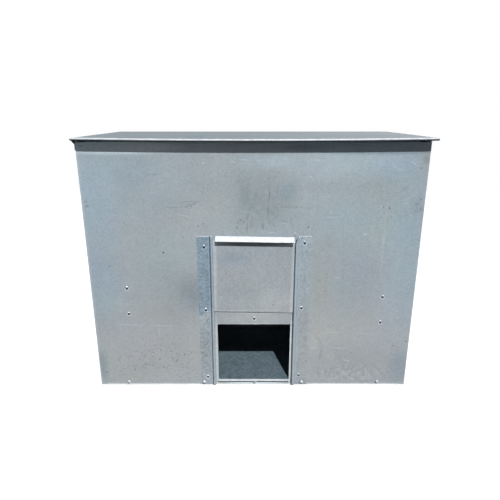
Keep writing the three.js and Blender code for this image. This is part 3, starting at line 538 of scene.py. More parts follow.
# Front wall. One sheet folded 12 mm round the sides, its top edge hemmed, its foot kicked forwards by 45
# degrees, with the hatch cut out above a folded sill. Weather, shovels and coal have marked it, and its
# soft patches and scratches are listed here in millimetres.
FRONT_TOP = 773
HATCH_X = 3
HATCH_HALF = 115
HATCH_LEFT, HATCH_RIGHT = HATCH_X - HATCH_HALF, HATCH_X + HATCH_HALF
HATCH_TOP = 217.4
SILL_DEPTH, SILL_BEND = 10, 1.55
KICK = 3
KICK_HALF = 480
TAB_CUT = 0.4
FACE_HALF = 485
# The middle of each tie's pair of rivets, as x and z.
TIES = {"left": (-389, 298.5), "right": (402, 269.5)}
TIE_RIVET_RISE = 42.5
HEADER_RIVET = (4, 240)
# Patches: x, z, half width, half height, change of level, tint (1 is bluest, -1 warmest).
FRONT_PATCHES = (
    (33, 600, 125, 110, -0.13, 0.1), (-22, 640, 34, 90, -0.09, 0.3), (100, 640, 40, 60, -0.08, 0.8),
    (-30, 530, 60, 40, -0.07, -0.8), (-178, 322, 80, 90, -0.17, 1.2), (-225, 310, 130, 170, -0.08, 0.2),
    (-353, 640, 60, 70, -0.05, 0.4), (-350, 710, 130, 80, -0.05, 1), (-470, 600, 130, 250, 0.03, 1.6),
    (-470, 330, 110, 190, -0.02, 1.7), (-497, 62, 42, 84, -0.3, 2.6), (-370, 523, 38, 30, -0.05, 0),
    (-250, 600, 90, 40, -0.04, 0.6), (-280, 250, 120, 60, -0.03, -0.7), (-330, 110, 160, 120, 0.03, -0.5),
    (-190, 120, 50, 140, 0.02, -0.5), (-110, 600, 70, 120, 0, -1), (-200, 560, 110, 90, 0.02, -0.9),
    (-110, 700, 70, 60, 0.05, -0.7), (40, 722, 130, 34, 0.12, 0.6), (260, 715, 260, 70, 0.2, 0.6),
    (400, 700, 110, 60, 0.02, 1.4), (488, 722, 20, 26, -0.24, -1.2), (300, 560, 120, 110, 0.02, 0.4),
    (484, 590, 26, 46, -0.1, -0.3), (470, 420, 110, 460, 0, 1.3), (330, 370, 120, 150, -0.03, 0.9),
    (210, 330, 70, 120, -0.02, -0.9), (250, 200, 110, 90, 0.03, -0.8), (330, 80, 200, 110, -0.1, 0),
    (486, 60, 72, 96, -0.15, 1.5), (200, 150, 30, 70, 0.05, -0.5), (258, 98, 30, 30, 0.08, -0.3),
    (-420, 290, 26, 20, 0.09, 0.5), (-450, 372, 24, 24, 0.05, 0.2), (-300, 30, 190, 40, 0.05, -0.3))
FRONT_SPOTS = (
    (122, 110, 6, 170, 0.7, 0), (-116, 110, 6, 170, 0.45, 0), (3, 238, 118, 24, 0.08, -0.5),
    # The four spots at z 757 paint light and shade across the band of shadow under the lid: lighter at the
    # left, darker and bluer at the right.
    (-390, 757, 230, 24, 0.45, -0.5), (-150, 757, 200, 24, 0.02, -0.3), (30, 757, 180, 24, -0.12, 0),
    (330, 757, 330, 24, -0.35, 1), (333, 508, 3.5, 3.5, 0.45, 0.3), (-270, 452, 3.6, 3.6, -0.75, 0),
    (-437, 410, 3, 3, -0.4, 0), (-148, 540, 3, 3, -0.45, 0), (-163, 533, 3, 3, -0.4, 0),
    (163, 530, 3, 4, -0.5, 0), (380, 590, 3, 3, -0.45, 0), (398, 586, 3, 4, -0.45, 0),
    (374, 592, 3, 2.5, 0.35, 0), (443, 601, 3.5, 2.5, 0.35, -0.5), (165, 677, 3.5, 3, 0.4, 0),
    (-142, 714, 4, 3, 0.35, 0), (-484, 592, 8, 4, -0.35, -1), (-486, 606, 6, 4, -0.25, -0.5),
    (-302, 94, 3.4, 3.4, -0.45, 0), (-477, 47, 3, 4, -0.4, 0), (450, 142, 3, 3, -0.45, 0),
    (490, 158, 3.4, 3.4, -0.5, 0), (452, 262, 3.5, 5, 0.25, -0.5), (455, 240, 5, 4, 0.25, 0),
    (308, 88, 10, 3, 0.25, 0), (478, 701, 6, 3, -0.3, -4), (348, 690, 3, 8, -0.05, -3),
    (28, 532, 5, 11, -0.22, 0), (-196, 590, 4, 3, -0.35, 0), (-188, 597, 4, 2.5, -0.3, 0),
    (-180, 591, 3, 3, -0.4, 0), (-173, 599, 4, 2.5, -0.35, 0), (-166, 604, 4, 2, -0.35, 0),
    (-190, 586, 3, 2, -0.3, 0), (486, 612, 5, 3, -0.2, 0), (478, 598, 6, 4, -0.18, 0),
    (490, 584, 5, 6, -0.22, 0), (474, 577, 4, 3, -0.16, 0), (-48, 528, 4, 5, -0.24, 0),
    (-38, 551, 4, 6, -0.24, 0), (-45, 541, 3, 4, -0.2, 0), (-27, 545, 4, 6, -0.16, 0),
    # The next four are painted light and shade: a light line under the door's bottom edge, a highlight along
    # the hatch's top edge, a shadow under the sill and light below that shadow.
    (3, 254, 126, 1.8, 0.16, 0), (3, 219.5, 116, 2.2, 0.3, 0), (3, 13, 116, 3.4, -0.5, 1.6),
    (3, 7, 116, 3.5, 0.9, 0.6))
# Strokes: x, z, x, z, half width, change of level.
FRONT_STROKES = (
    (2, 606, -13, 574, 1.5, -0.24), (-12, 577, -18, 545, 1.6, -0.24), (-17, 549, -18, 508, 1.6, -0.24),
    (9, 606, -3, 574, 1.4, -0.18), (-2, 577, -8, 508, 1.4, -0.18), (12, 640, 2, 604, 1.3, -0.18),
    (42, 700, 48, 600, 1.2, -0.13), (42, 596, 44, 560, 1.5, -0.3), (44, 562, 52, 528, 1.3, -0.24),
    (48, 640, 44, 600, 1.6, -0.24), (42, 584, 75, 552, 1.3, -0.21), (75, 552, 116, 540, 1.3, -0.18),
    (73, 660, 66, 612, 1.3, -0.18), (103, 610, 105, 570, 1.3, -0.21), (105, 572, 122, 512, 1.5, -0.24),
    (68, 590, 160, 589, 3, -0.13), (70, 607, 84, 606, 1.5, 0.21), (84, 541, 104, 541, 1.8, 0.25),
    (48, 514, 64, 513, 1.8, 0.25), (-222, 603, -150, 607, 1.6, -0.2), (-202, 587, -166, 601, 3.6, -0.1),
    (-260, 588, -204, 588, 1.2, -0.2), (-238, 574, -172, 556, 1.4, 0.22),
    (-322, 629, -268, 629, 1.4, 0.16), (-312, 682, -258, 685, 1.3, -0.22),
    (-240, 552, -200, 505, 1.2, 0.12), (-408, 563, -452, 508, 1.3, -0.16), (-66, 719, -48, 716, 1.5, 0.3),
    (-40, 727, -14, 721, 1.5, 0.3), (-26, 716, -2, 708, 1.5, 0.24), (4, 722, 26, 722, 1.5, 0.22),
    (160, 723, 200, 722, 1.8, 0.25), (392, 711, 408, 701, 1.5, 0.32), (410, 701, 436, 691, 1.5, 0.22),
    (438, 723, 474, 704, 1.5, 0.27), (410, 624, 452, 655, 1.3, -0.16), (190, 690, 190, 648, 1.3, 0.12),
    (200, 619, 232, 622, 1.6, 0.16), (208, 560, 250, 558, 1.6, 0.18), (228, 585, 230, 568, 2, 0.2),
    (390, 600, 388, 350, 2.2, 0.12), (374, 690, 380, 600, 1.3, 0.12), (460, 620, 428, 604, 1.4, 0.18),
    (428, 572, 436, 530, 1.3, -0.14), (-443, 216, -332, 215, 1.8, 0.2), (-340, 215, -236, 212, 1.8, 0.16),
    (-300, 212, -300, 178, 1.8, 0.2), (218, 191, 290, 189, 1.8, 0.2), (300, 187, 432, 180, 1.5, 0.14),
    (250, 373, 264, 372, 1.8, 0.25), (178, 135, 212, 135, 1.8, 0.18), (236, 134, 316, 133, 1.8, 0.18),
    (196, 186, 224, 140, 4.5, -0.14), (224, 142, 216, 92, 4.5, -0.14), (292, 96, 300, 88, 1.8, 0.2))


def rivet_shadow_and_halo(places):
    """A painted pale halo round the lower half of each rivet, and a painted black shadow under it."""
    marks = [(x, z - 5.6, 9.0, 6.5, 0.5, 0.0) for x, z in places]
    return tuple(marks + [(x, z - 4.6, 5.0, 3.8, -1.42, 0.0) for x, z in places])


def marks_group(name, patches, spots, strokes, split=None, splash=None, dots=None):
    """Marks on a surface seen from the front. A patch falls smoothly from the middle of its ellipse to 0
    at its rim, which noise makes ragged, and a spot only in the outer half of a clean ellipse. A stroke
    is a thin ellipse turned along its line and broken by noise. A split is the part above a sloping line,
    a splash an ellipse of light and dark dashes, and the dots are a few dark crystals in an ellipse.
    Level = 1 + the sum of change x mask, tinted blue or warm by the sum of tint x mask."""
    tree, _, made = group_with(name, [], [("Level", "Color")])
    place = tree.nodes.new("ShaderNodeTexCoord").outputs["Object"]

    def warped(scale, reach):
        shift = noise(tree, place, scale, 4, 0.6, output="Color")
        moved = add_node(tree, "VectorMath", {0: shift, 1: (reach, reach, reach), 2: place},
                         operation="MULTIPLY_ADD")
        return moved.outputs[0], reach / 2

    clean, ragged, wavering = (place, 0.0), warped(9.0, 0.06), warped(30.0, 0.006)

    def mask(source, x, z, half_x, half_z, solid, turn=0.0):
        seen, shift = source
        mapped = add_node(tree, "Mapping", {
            "Location": (x * METRES + shift, 0, z * METRES + shift), "Rotation": (0, turn, 0),
            "Scale": (half_x * METRES, 1000, half_z * METRES), "Vector": seen}, vector_type="TEXTURE")
        ball = add_node(tree, "TexGradient", {"Vector": mapped.outputs["Vector"]}, gradient_type="SPHERICAL")
        return ramp(tree, ball.outputs["Fac"], 0.0, 1.0 - solid)

    level, tint = 1.0, 0.0
    for source, solid, ellipses in ((ragged, 0.1, patches), (clean, 0.5, spots)):
        for *ellipse, change, blue in ellipses:
            here = mask(source, *ellipse, solid)
            level = scaled(tree, here, change, level)
            tint = scaled(tree, here, blue, tint)
    broken = ramp(tree, noise(tree, place, 130.0, 3, 0.7), 0.36, 0.56, 0.5, 1.0)
    drawn = 0.0
    for x0, z0, x1, z1, half, change in strokes:
        reach = math.hypot(x1 - x0, z1 - z0) / 2 + half
        here = mask(wavering, (x0 + x1) / 2, (z0 + z1) / 2, reach, half * 1.6, 0.35,
                    -math.atan2(z1 - z0, x1 - x0))
        drawn = scaled(tree, here, change, drawn)
    level = scaled(tree, drawn, broken, level)
    if split:
        slope, height, change, blue = split
        seen = add_node(tree, "SeparateXYZ", {0: ragged[0]}).outputs
        over = scaled(tree, seen["X"], -slope, seen["Z"])
        here = ramp(tree, over, height + 0.004, height + 0.02)
        level = scaled(tree, here, change, level)
        tint = scaled(tree, here, blue, tint)
    if splash:
        dashes = noise(tree, place, 60.0, 4, 0.6, squeeze=(1.5, 1.5, 1))
        light, dark = ramp(tree, dashes, 0.5, 0.66), ramp(tree, dashes, 0.36, 0.5, 1.0, 0.0)
        dashes = maths(tree, "SUBTRACT", light, dark)
        here = maths(tree, "MULTIPLY", dashes, mask(ragged, *splash[:4], 0.3))
        level = scaled(tree, here, splash[4], level)
    if dots:
        few = ramp(tree, crystals(tree, place, 300.0)["Red"], 0.950, 0.957)
        here = maths(tree, "MULTIPLY", few, mask(ragged, *dots[:4], 0.4))
        level = scaled(tree, here, dots[4], level)
    toned = tree.nodes.new("ShaderNodeCombineColor")
    for channel, pull in zip(CHANNELS, (-0.05, -0.005, 0.035)):
        shifted = scaled(tree, tint, pull, 1.0)
        tree.links.new(maths(tree, "MULTIPLY", level, shifted), toned.inputs[channel])
    tree.links.new(toned.outputs[0], made.inputs["Level"])
    return tree


tie_rivets = [(x, z + rise) for x, z in TIES.values() for rise in (TIE_RIVET_RISE, -TIE_RIVET_RISE)]
front_spots = FRONT_SPOTS + rivet_shadow_and_halo([*tie_rivets, HEADER_RIVET])
front_marks = marks_group("front_marks", FRONT_PATCHES, front_spots, FRONT_STROKES,
                          splash=(320, 34, 190, 44, 0.16), dots=(-300, 80, 220, 120, -0.42))
front_zinc = zinc_sheet("marked_front_zinc", (0.340, 0.392, 0.418), (0.360, 0.388, 0.398), warm_below=0.28,
                        clouds=0.25, grain=0.15, streaks=0.07, rubbed_and_highlight=(0.86, 0.91, 0.94), marks=front_marks)
front_mid = FRONT_Y + SHEET / 2
front_hem = front_mid + 2 * HEM_BEND
front_top = FRONT_TOP - SHEET / 2
kick_reach = KICK - SHEET / 2
guide_gaps = ((-171, -118.4), (124.4, 177))
bump_x, bump_z, bump_radius, bump_height = 125, 508, 3.4, 1.3
bump_steps = np.linspace(-bump_radius, bump_radius, 9)
stops = sorted({-KICK_HALF - TAB_CUT, -KICK_HALF, -HEM_HALF, HATCH_LEFT, HATCH_RIGHT, HEM_HALF, KICK_HALF,
                KICK_HALF + TAB_CUT, *guide_gaps[0], *guide_gaps[1], *(bump_x + bump_steps)})
middle, plan, rise, worn = wrap_grid(
    [(-side_mid, FRONT_Y + CORNER_LAP), (-side_mid, front_mid), *[(stop, front_mid) for stop in stops],
     (side_mid, front_mid), (side_mid, FRONT_Y + CORNER_LAP)],
    [(front_mid - kick_reach, KICK - kick_reach), (front_mid, KICK), (front_mid, FLOOR_Z - 1),
     (front_mid, HATCH_TOP), *[(front_mid, bump_z + step) for step in bump_steps], (front_mid, front_top),
     (front_hem, front_top), (front_hem, FRONT_TOP - HEM)],
    [BEND] + [0] * (2 + len(bump_steps)) + [HEM_BEND, HEM_BEND], front_mid, -1)
column = (plan[:-1, 0] + plan[1:, 0]) / 2
kick_rows = int(np.argmax(rise[:, 0] > front_mid - TINY))
corner = np.abs(plan[:, 0]) > KICK_HALF + TAB_CUT / 2
middle[corner, :kick_rows, :2] = plan[corner][:, None, :]
middle[corner, :kick_rows, 2] = np.linspace(0, rise[kick_rows, 1], kick_rows, endpoint=False)
x_here, z_here = middle[..., 0], middle[..., 2]
# Where nothing holds the sheet it is wavy by up to 1.4 mm, and a small bump has been knocked out of it.
free = np.maximum(portion(np.abs(x_here - HATCH_X), 190, 250), portion(z_here, 520, 580))
free = free * portion(np.abs(x_here), 480, 420) * portion(z_here, 750, 690) * portion(z_here, 25, 75)
for tie_x, tie_z in TIES.values():
    free = free * (1 - np.exp(-((x_here - tie_x) ** 2 + (z_here - tie_z) ** 2) / 75 ** 2))
canning = 0.9 * np.sin(x_here / 71 + 0.6) * np.sin(z_here / 97 + 1.1)
canning = canning + 0.5 * np.sin(x_here / 39 - z_here / 53)
dome = np.clip(1 - ((x_here - bump_x) ** 2 + (z_here - bump_z) ** 2) / bump_radius ** 2, 0, 1)
on_face = np.abs(plan[:, 0]) < FACE_HALF
middle[on_face, :, 1] -= (free * canning + bump_height * dome)[on_face]
hole = (column > HATCH_LEFT) & (column < HATCH_RIGHT)
row = (rise[:-1, 1] + rise[1:, 1]) / 2
flat_row = (rise[1:, 0] < front_mid + TINY) & (np.arange(len(row)) >= kick_rows)
keep = ~(hole[:, None] & (flat_row & (row > FLOOR_Z - 1) & (row < HATCH_TOP))[None, :])
keep &= ~((np.abs(column) > HEM_HALF)[:, None] & (rise[1:, 0] > front_mid + TINY)[None, :])
beside = (np.abs(column) > KICK_HALF) & (np.abs(column) < KICK_HALF + TAB_CUT)
for gap_left, gap_right in guide_gaps:
    beside |= (column > gap_left) & (column < gap_right)
keep &= ~(beside[:, None] & (np.arange(len(row)) < kick_rows)[None, :])
worn *= 0.35
# The kick faces up towards the light and is painted bright as a highlight.
worn[:, :kick_rows] = 0.4
sill, _ = bent_line([(front_mid, FLOOR_Z - 1), (front_mid, FLOOR_Z + SHEET / 2),
                     (FRONT_Y - SILL_DEPTH, FLOOR_Z + SHEET / 2)], SILL_BEND, 3)
sill_x = np.linspace(HATCH_LEFT, HATCH_RIGHT, 40)
sill_grid = surface(sill_x[:, None], sill[None, :, 0], sill[None, :, 1])
# The sill is painted bright as a highlight.
sill_sheet = sheet(sill_grid, worn=np.ones(sill_grid.shape[:2]))
sill_sheet["kind"][:] = 0
shells = [sheet(middle, keep, worn), sill_sheet, *seam_heads(FRONT_Y + SEAM_INSET)]
make_piece("front_wall_sheet", shells, [front_zinc, sheltered_zinc, cut_edge], "galvanised_wall", "bin",
           "front_panel")

# Corner brackets, ties and stiffener. Dull galvanised angles in the top corners, a round bar with end
# plates across each end of the coal space, and an angle behind the sheet above the hatch.


def finish_node(name, material):
    """Gives a piece of the frame its finish."""
    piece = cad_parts[name]
    for held in piece.material_slots:
        held.material = material


inner_zinc = zinc_sheet("dull_inner_zinc", (0.26, 0.31, 0.34), (0.26, 0.30, 0.32), clouds=0.4)
for inner in ("left_tie_bar", "right_tie_bar", "hatch_header", "left_front_corner_bracket",
              "right_front_corner_bracket", "left_back_corner_bracket", "right_back_corner_bracket"):
    finish_node(inner, inner_zinc)

# Guides. Two strips of more coarsely spangled sheet, riveted beside the hatch, with their inner edges
# rolled up into half-round beads over the door's edges. The right bead's top has been splayed outwards.
GUIDE_BOTTOM, GUIDE_TOP = 3, 503
GUIDE_FLANGE = (172, 150, 139, 137, 135, 133.9)
GUIDE_BEND = 0.9
BEAD_HALF, BEAD_ARC = 128, 5.5
STRETCH_FROM, SPLAY_FROM = 440, 476
LEFT_RIVETS = ((-147.6, 472.6), (-147.4, 269.5), (-147, 33.9))
RIGHT_RIVETS = ((154, 484.9), (151, 276.2), (149.5, 39.4))
right_guide_marks = marks_group("right_guide_marks", (), rivet_shadow_and_halo(RIGHT_RIVETS), ())
left_guide_marks = marks_group("left_guide_marks", (
    (-150, 120, 60, 170, -0.17, 0.2), (-150, 265, 20, 26, 0.10, 0.3)), rivet_shadow_and_halo(LEFT_RIVETS), (),
    split=(0.59, 0.3315, -0.24, 2.6))
left_guide_zinc = zinc_sheet("left_guide_zinc", (0.34, 0.40, 0.43), (0.355, 0.395, 0.425), warm_below=0.2,
                             clouds=0.2, grain=0.46, grain_size=280.0, rubbed_and_highlight=(0.34, 0.44, 0.51),
                             marks=left_guide_marks)
right_guide_zinc = zinc_sheet("right_guide_zinc", (0.34, 0.40, 0.44), (0.335, 0.36, 0.375), warm_below=0.25,
                              clouds=0.3, grain=0.28, grain_size=300.0, rubbed_and_highlight=(0.34, 0.44, 0.51),
                              marks=right_guide_marks)
# Painted light and shade across a bead: distances from its middle, and how much painted highlight (above 0)
# or painted shade (below 0) it has there.
left_bead_light_and_shade = ((-11, -9, -7, -5.2, -2.6, -1.4, 0.4, 2.8, 3.6),
                   (0, 0.5, 0.4, -0.6, -0.55, 0, 0.9, 0.9, -0.6))
right_bead_light_and_shade = ((-3.9, -2.6, -1.2, 0, 2, 4, 6, 8, 9, 11),
                    (-0.9, -0.85, -0.5, 0.5, 0.9, 0.4, 0.2, 0.5, 0.5, 0))
flat = GAP + SHEET / 2
guide_line, _ = bent_line(
    [(x, flat) for x in GUIDE_FLANGE]
    + [(BEAD_HALF + BEAD_ARC * math.cos(angle), flat + BEAD_ARC * math.sin(angle))
       for angle in np.radians(np.linspace(20, 138, 11))], GUIDE_BEND, 6, steps=2)
heights = np.concatenate([np.linspace(GUIDE_BOTTOM, 470, 60), np.linspace(473, GUIDE_TOP - 2, 15),
                          [GUIDE_TOP]])[:, None]
stretched = portion(heights, STRETCH_FROM, GUIDE_TOP)
open_top = portion(heights, SPLAY_FROM, GUIDE_TOP) ** 2
for side_name, side, bead_rise, splay, inset, guide_zinc, bead_light_and_shade in (
        ("left", -1, 2.5, 0.0, 0.0, left_guide_zinc, left_bead_light_and_shade),
        ("right", 1, -8.0, 5.0, 2.0, right_guide_zinc, right_bead_light_and_shade)):
    profile = guide_line[None, ::side]
    into_bead = portion(profile[..., 0], 134, 130)
    middle = surface(HATCH_X + side * (profile[..., 0] + (splay * open_top - inset) * into_bead),
                     FRONT_Y - profile[..., 1], heights + bead_rise * stretched * into_bead)
    bead_shading = np.interp((profile[..., 0] - BEAD_HALF) * side, *bead_light_and_shade)
    guide = sheet(middle[:, ::-1], worn=bead_shading[:, ::-1] + 0 * heights)
    # The faces' top 2 mm take the bright cut-edge finish as well, as a painted highlight along the top edge.
    face_middle = guide["points"][guide["quads"]].mean(1)
    guide["kind"][face_middle[:, 2] > GUIDE_TOP - 2] = 2
    make_piece(side_name + "_guide_sheet", [guide], [guide_zinc, cut_edge], "spangled_guide", "bin",
               side_name + "_guide")

# Hatch door. One sheet that slides in the guides, its top edge folded forwards and down as a pull. It is
# loose enough to hang a degree askew. Its edges are rubbed bright, and its pull takes the full bright
# tone as rubbed wear and a painted highlight.
DOOR_WIDTH, DOOR_HEIGHT, DOOR_BOTTOM = 256, 243, 261
DOOR_STAND_OFF = 2.2
PULL_WIDTH, PULL_SLANT, PULL_NECK = 234, 22, 14
# Of the door's spots, the one at z 480 is a painted shadow under the pull, and those at z 267 and 262.5 are
# a painted light line and a painted shade line along the bottom edge.
door_marks = marks_group("door_marks", (
    (-60, 440, 80, 40, -0.10, 1.3), (-53, 336, 90, 26, -0.06, 0.2), (60, 300, 90, 60, 0.14, -0.4)), (
    (3, 480, 122, 10, -0.65, 0), (-100, 310, 8, 5, 0.16, 0), (-87, 290, 7, 4, 0.16, 0),
    (63, 285, 4, 4, -0.3, 0), (3, 267, 124, 2.2, 0.16, 0), (3, 262.5, 124, 1.8, -0.3, 0)), (
    (20, 345, 46, 361, 2.0, 0.2),))
door_zinc = zinc_sheet("hatch_door_zinc", (0.334, 0.376, 0.404), (0.360, 0.388, 0.402), clouds=0.22,
                       grain=0.2, rubbed_and_highlight=(0.69, 0.715, 0.735), marks=door_marks)
reach = PULL_SLANT * math.sqrt(0.5)
door_face = FRONT_Y - DOOR_STAND_OFF - SHEET / 2
rise, folded = bent_line(
    [(door_face, level) for level in (0, 2, 3, DOOR_HEIGHT - PULL_NECK, DOOR_HEIGHT)]
    + [(door_face - reach, DOOR_HEIGHT - reach)], [0, 0, 0, BEND], 6)
across = np.unique(np.concatenate([np.linspace(-DOOR_WIDTH / 2, -PULL_WIDTH / 2, 4),
                                   np.linspace(-PULL_WIDTH / 2, PULL_WIDTH / 2, 40),
                                   np.linspace(PULL_WIDTH / 2, DOOR_WIDTH / 2, 4)]))
lean = math.radians(1)
x_plain, z_plain = across[:, None], rise[None, :, 1]
middle = surface(
    x_plain * math.cos(lean) + z_plain * math.sin(lean) + HATCH_X - DOOR_HEIGHT / 2 * math.sin(lean),
    rise[None, :, 0], z_plain * math.cos(lean) - x_plain * math.sin(lean) + DOOR_BOTTOM)
column = (across[:-1] + across[1:]) / 2
above_neck = (rise[1:, 1] > DOOR_HEIGHT - PULL_NECK + 0.1) | (rise[1:, 0] < door_face - 0.1)
keep = ~((np.abs(column) > PULL_WIDTH / 2)[:, None] & above_neck[None, :])
on_pull = (rise[:, 0] < door_face - 0.3).astype(float)
edges = 0.35 * np.maximum((np.abs(across) > PULL_WIDTH / 2 - 1)[:, None], (rise[:, 1] < 2.5)[None, :])
# The pull takes the full bright tone, as rubbed wear and a painted highlight; the edges are rubbed.
worn = np.maximum(np.maximum(on_pull, folded)[None, :], edges)
make_piece("hatch_door_sheet", [sheet(middle, keep, worn)], [door_zinc, cut_edge], "hatch_sheet",
           "hatch_door", "hatch_door")

# Lid. One sloping sheet, its front edge rolled into a bead that has sunk 4 mm at its middle, its sides
# and back folded down outside the walls. The right side flange has been snipped off behind the corner.
LID_SHIFT = 3
LID_HALF = 1011 / 2
LID_SIDE_DROP, LID_BACK_DROP = 34, 26
LID_BEND = 1.2
BEAD_RADIUS = 4.3
LID_SAG, SAG_REACH = 4, 150
BEAD_PROUD = 1.6
LID_STAND_OFF = 0.8
lid_front = FRONT_Y - 24
lid_back = BACK_Y + LID_STAND_OFF + SHEET / 2
lid_zinc = zinc_sheet("lid_zinc", (0.205, 0.242, 0.262), (0.205, 0.242, 0.262), clouds=0.25, grain=0.3,
                      specular=0.05, roughness=0.6, rubbed_and_highlight=(0.66, 0.68, 0.70))


def lid_level(y):
    """Height of the lid's middle surface."""
    return lid_underside(y) + SHEET / 2 / math.cos(LID_SLOPE)


ring = BEAD_RADIUS - SHEET / 2
turned_by = np.linspace(1.72 * math.pi, 0, 26)
curl_angle = math.pi / 2 + LID_SLOPE + turned_by
curl = np.stack([lid_front + ring * np.cos(curl_angle),
                 lid_level(lid_front) + BEAD_PROUD - ring + ring * np.sin(curl_angle)], 1)
left_start, right_start = FRONT_Y - 19, FRONT_Y + 12
slope, slope_fold = bent_line(
    [(y, lid_level(y)) for y in (lid_front, left_start, right_start, lid_front + SAG_REACH, lid_back)]
    + [(lid_back, lid_level(lid_back) - LID_BACK_DROP)], [0, 0, 0, LID_BEND], 9)
# A little painted shade where the bead meets the top.
slope_fold[0] = -0.35
line = np.concatenate([curl[:-1], slope])
# The bead is painted bright as a highlight over its top and front, and dark as shade where it turns under.
curl_light_and_shade = np.clip((math.radians(94) - turned_by[:-1]) * 2.4, -0.8, 1.0)
line_light_and_wear = np.concatenate([curl_light_and_shade, slope_fold])
first_slope = len(curl) - 1
back_start = int(np.argmax(slope_fold > 0)) - 1 + first_slope
lid_left, lid_right = LID_SHIFT - LID_HALF + SHEET / 2, LID_SHIFT + LID_HALF - SHEET / 2
wide, wide_fold = bent_line([(lid_left, -LID_SIDE_DROP), (lid_left, 0), (lid_right, 0),
                             (lid_right, -LID_SIDE_DROP)], LID_BEND, 9)
drop = -wide[:, 1]
y_lid = line[None, :, 0] + 0 * drop[:, None]
on_slope = (np.arange(len(line)) >= first_slope) & (np.arange(len(line)) <= back_start)
# How far behind the front wall each side flange begins, which changes with the drop below the lid.
for end, start_y, setback in (
        (wide[:, 0] < 0, left_start, np.interp(drop, [0, 6, 17, 99], [-19, -19, 3, 3])),
        (wide[:, 0] > 0, right_start, np.interp(drop, [0, 8, 99], [12, 20, 20]))):
    rows = end & (drop > TINY)
    columns = on_slope & (line[:, 0] >= start_y - TINY)
    last = line[back_start, 0]
    share = (line[columns, 0] - start_y) / (last - start_y)
    begin = FRONT_Y + setback[rows]
    y_lid[np.ix_(rows, columns)] = begin[:, None] + share[None, :] * (last - begin[:, None])
z_lid = np.where(on_slope[None, :], lid_level(y_lid), line[None, :, 1]) - drop[:, None]
spread = (wide[:, None, 0] - LID_SHIFT) / LID_HALF
back = portion(y_lid, lid_front, lid_front + SAG_REACH)
z_lid -= LID_SAG * (1 - spread ** 2) * (1 - back) ** 2 * (1 + 2 * back)
# Its middle is raised and wavy by up to 1.6 mm.
calm = np.clip((1 - np.abs(spread)) * 6, 0, 1) * portion(y_lid, -150, -90) * portion(y_lid, 150, 90)
z_lid += calm * (0.8 * np.sin(wide[:, None, 0] / 83) * np.sin(y_lid / 47) + 0.8)
middle = surface(wide[:, None, 0], y_lid, z_lid)
cell_drop = np.maximum(drop[:-1], drop[1:]) > TINY
cell_side = (wide[:-1, 0] + wide[1:, 0]) / 2
row_index = np.arange(len(line) - 1)
starts = np.where(cell_side < 0, left_start, right_start)
behind = (line[:-1, 0][None, :] >= starts[:, None] - TINY) & (row_index[None, :] >= first_slope)
keep = ~cell_drop[:, None] | (behind & (row_index[None, :] < back_start))
worn = np.where(np.abs(line_light_and_wear)[None, :] > 0, line_light_and_wear[None, :], wide_fold[:, None] * 0.5)
# The side flanges' front ends are painted black as shade.
worn = np.where((drop[:, None] > 1) & (y_lid < FRONT_Y + 30), -1.0, worn)
make_piece("lid_sheet", [sheet(middle, keep, worn)], [lid_zinc, sheltered_zinc, cut_edge], "galvanised_lid",
           "lid", "lid")

# Hinges. Two steel hinges, zinc plated. Each leaf is a plate with knuckles rolled round the pin and three
# rivets through it, the lower leaf on the back wall and the upper one on the lid's back flange.
HINGE_X, HINGE_Y, HINGE_Z = 300, BACK_Y + 4.6, 785
HINGE_WIDTH = 80
LEAF_SHEET = 1.4
KNUCKLE_GAP = 0.4
bright_zinc = zinc_sheet("bright_fastener_zinc", (0.42, 0.48, 0.52), (0.42, 0.48, 0.52), clouds=0.4,
                         grain=0.14, roughness=0.34, metallic=0.25, rubbed_and_highlight=(0.74, 0.78, 0.80))


def plate(x0, x1, y0, y1, z0, z1):
    """A flat plate facing back, with its corners cut off by 3 mm."""
    x, z = np.linspace(x0, x1, 12)[:, None], np.linspace(z0, z1, 7)[None, :]
    inset = 3 * (np.abs(np.linspace(-1, 1, 7)) > 0.99)
    centre, half = (x0 + x1) / 2, (x1 - x0) / 2
    x = centre + (x - centre) * (half - inset[None, :]) / half
    return skin(surface(x, y1, z)[::-1], surface(x, y0, z)[::-1], np.ones((11, 6), bool), np.zeros((12, 7)))


def knuckle(x0, x1):
    """A rolled knuckle: a tube round the pin, its rims eased."""
    bore, rim, outer, ease = 2.8, 3.9, 4.3, 0.4
    loop = [(bore, x0), (rim, x0), (outer, x0 + ease), (outer, x1 - ease), (rim, x1), (bore, x1)]
    return turned(loop, (0, HINGE_Y, HINGE_Z), (1, 0, 0), around=28, closed=True, worn=0.4)


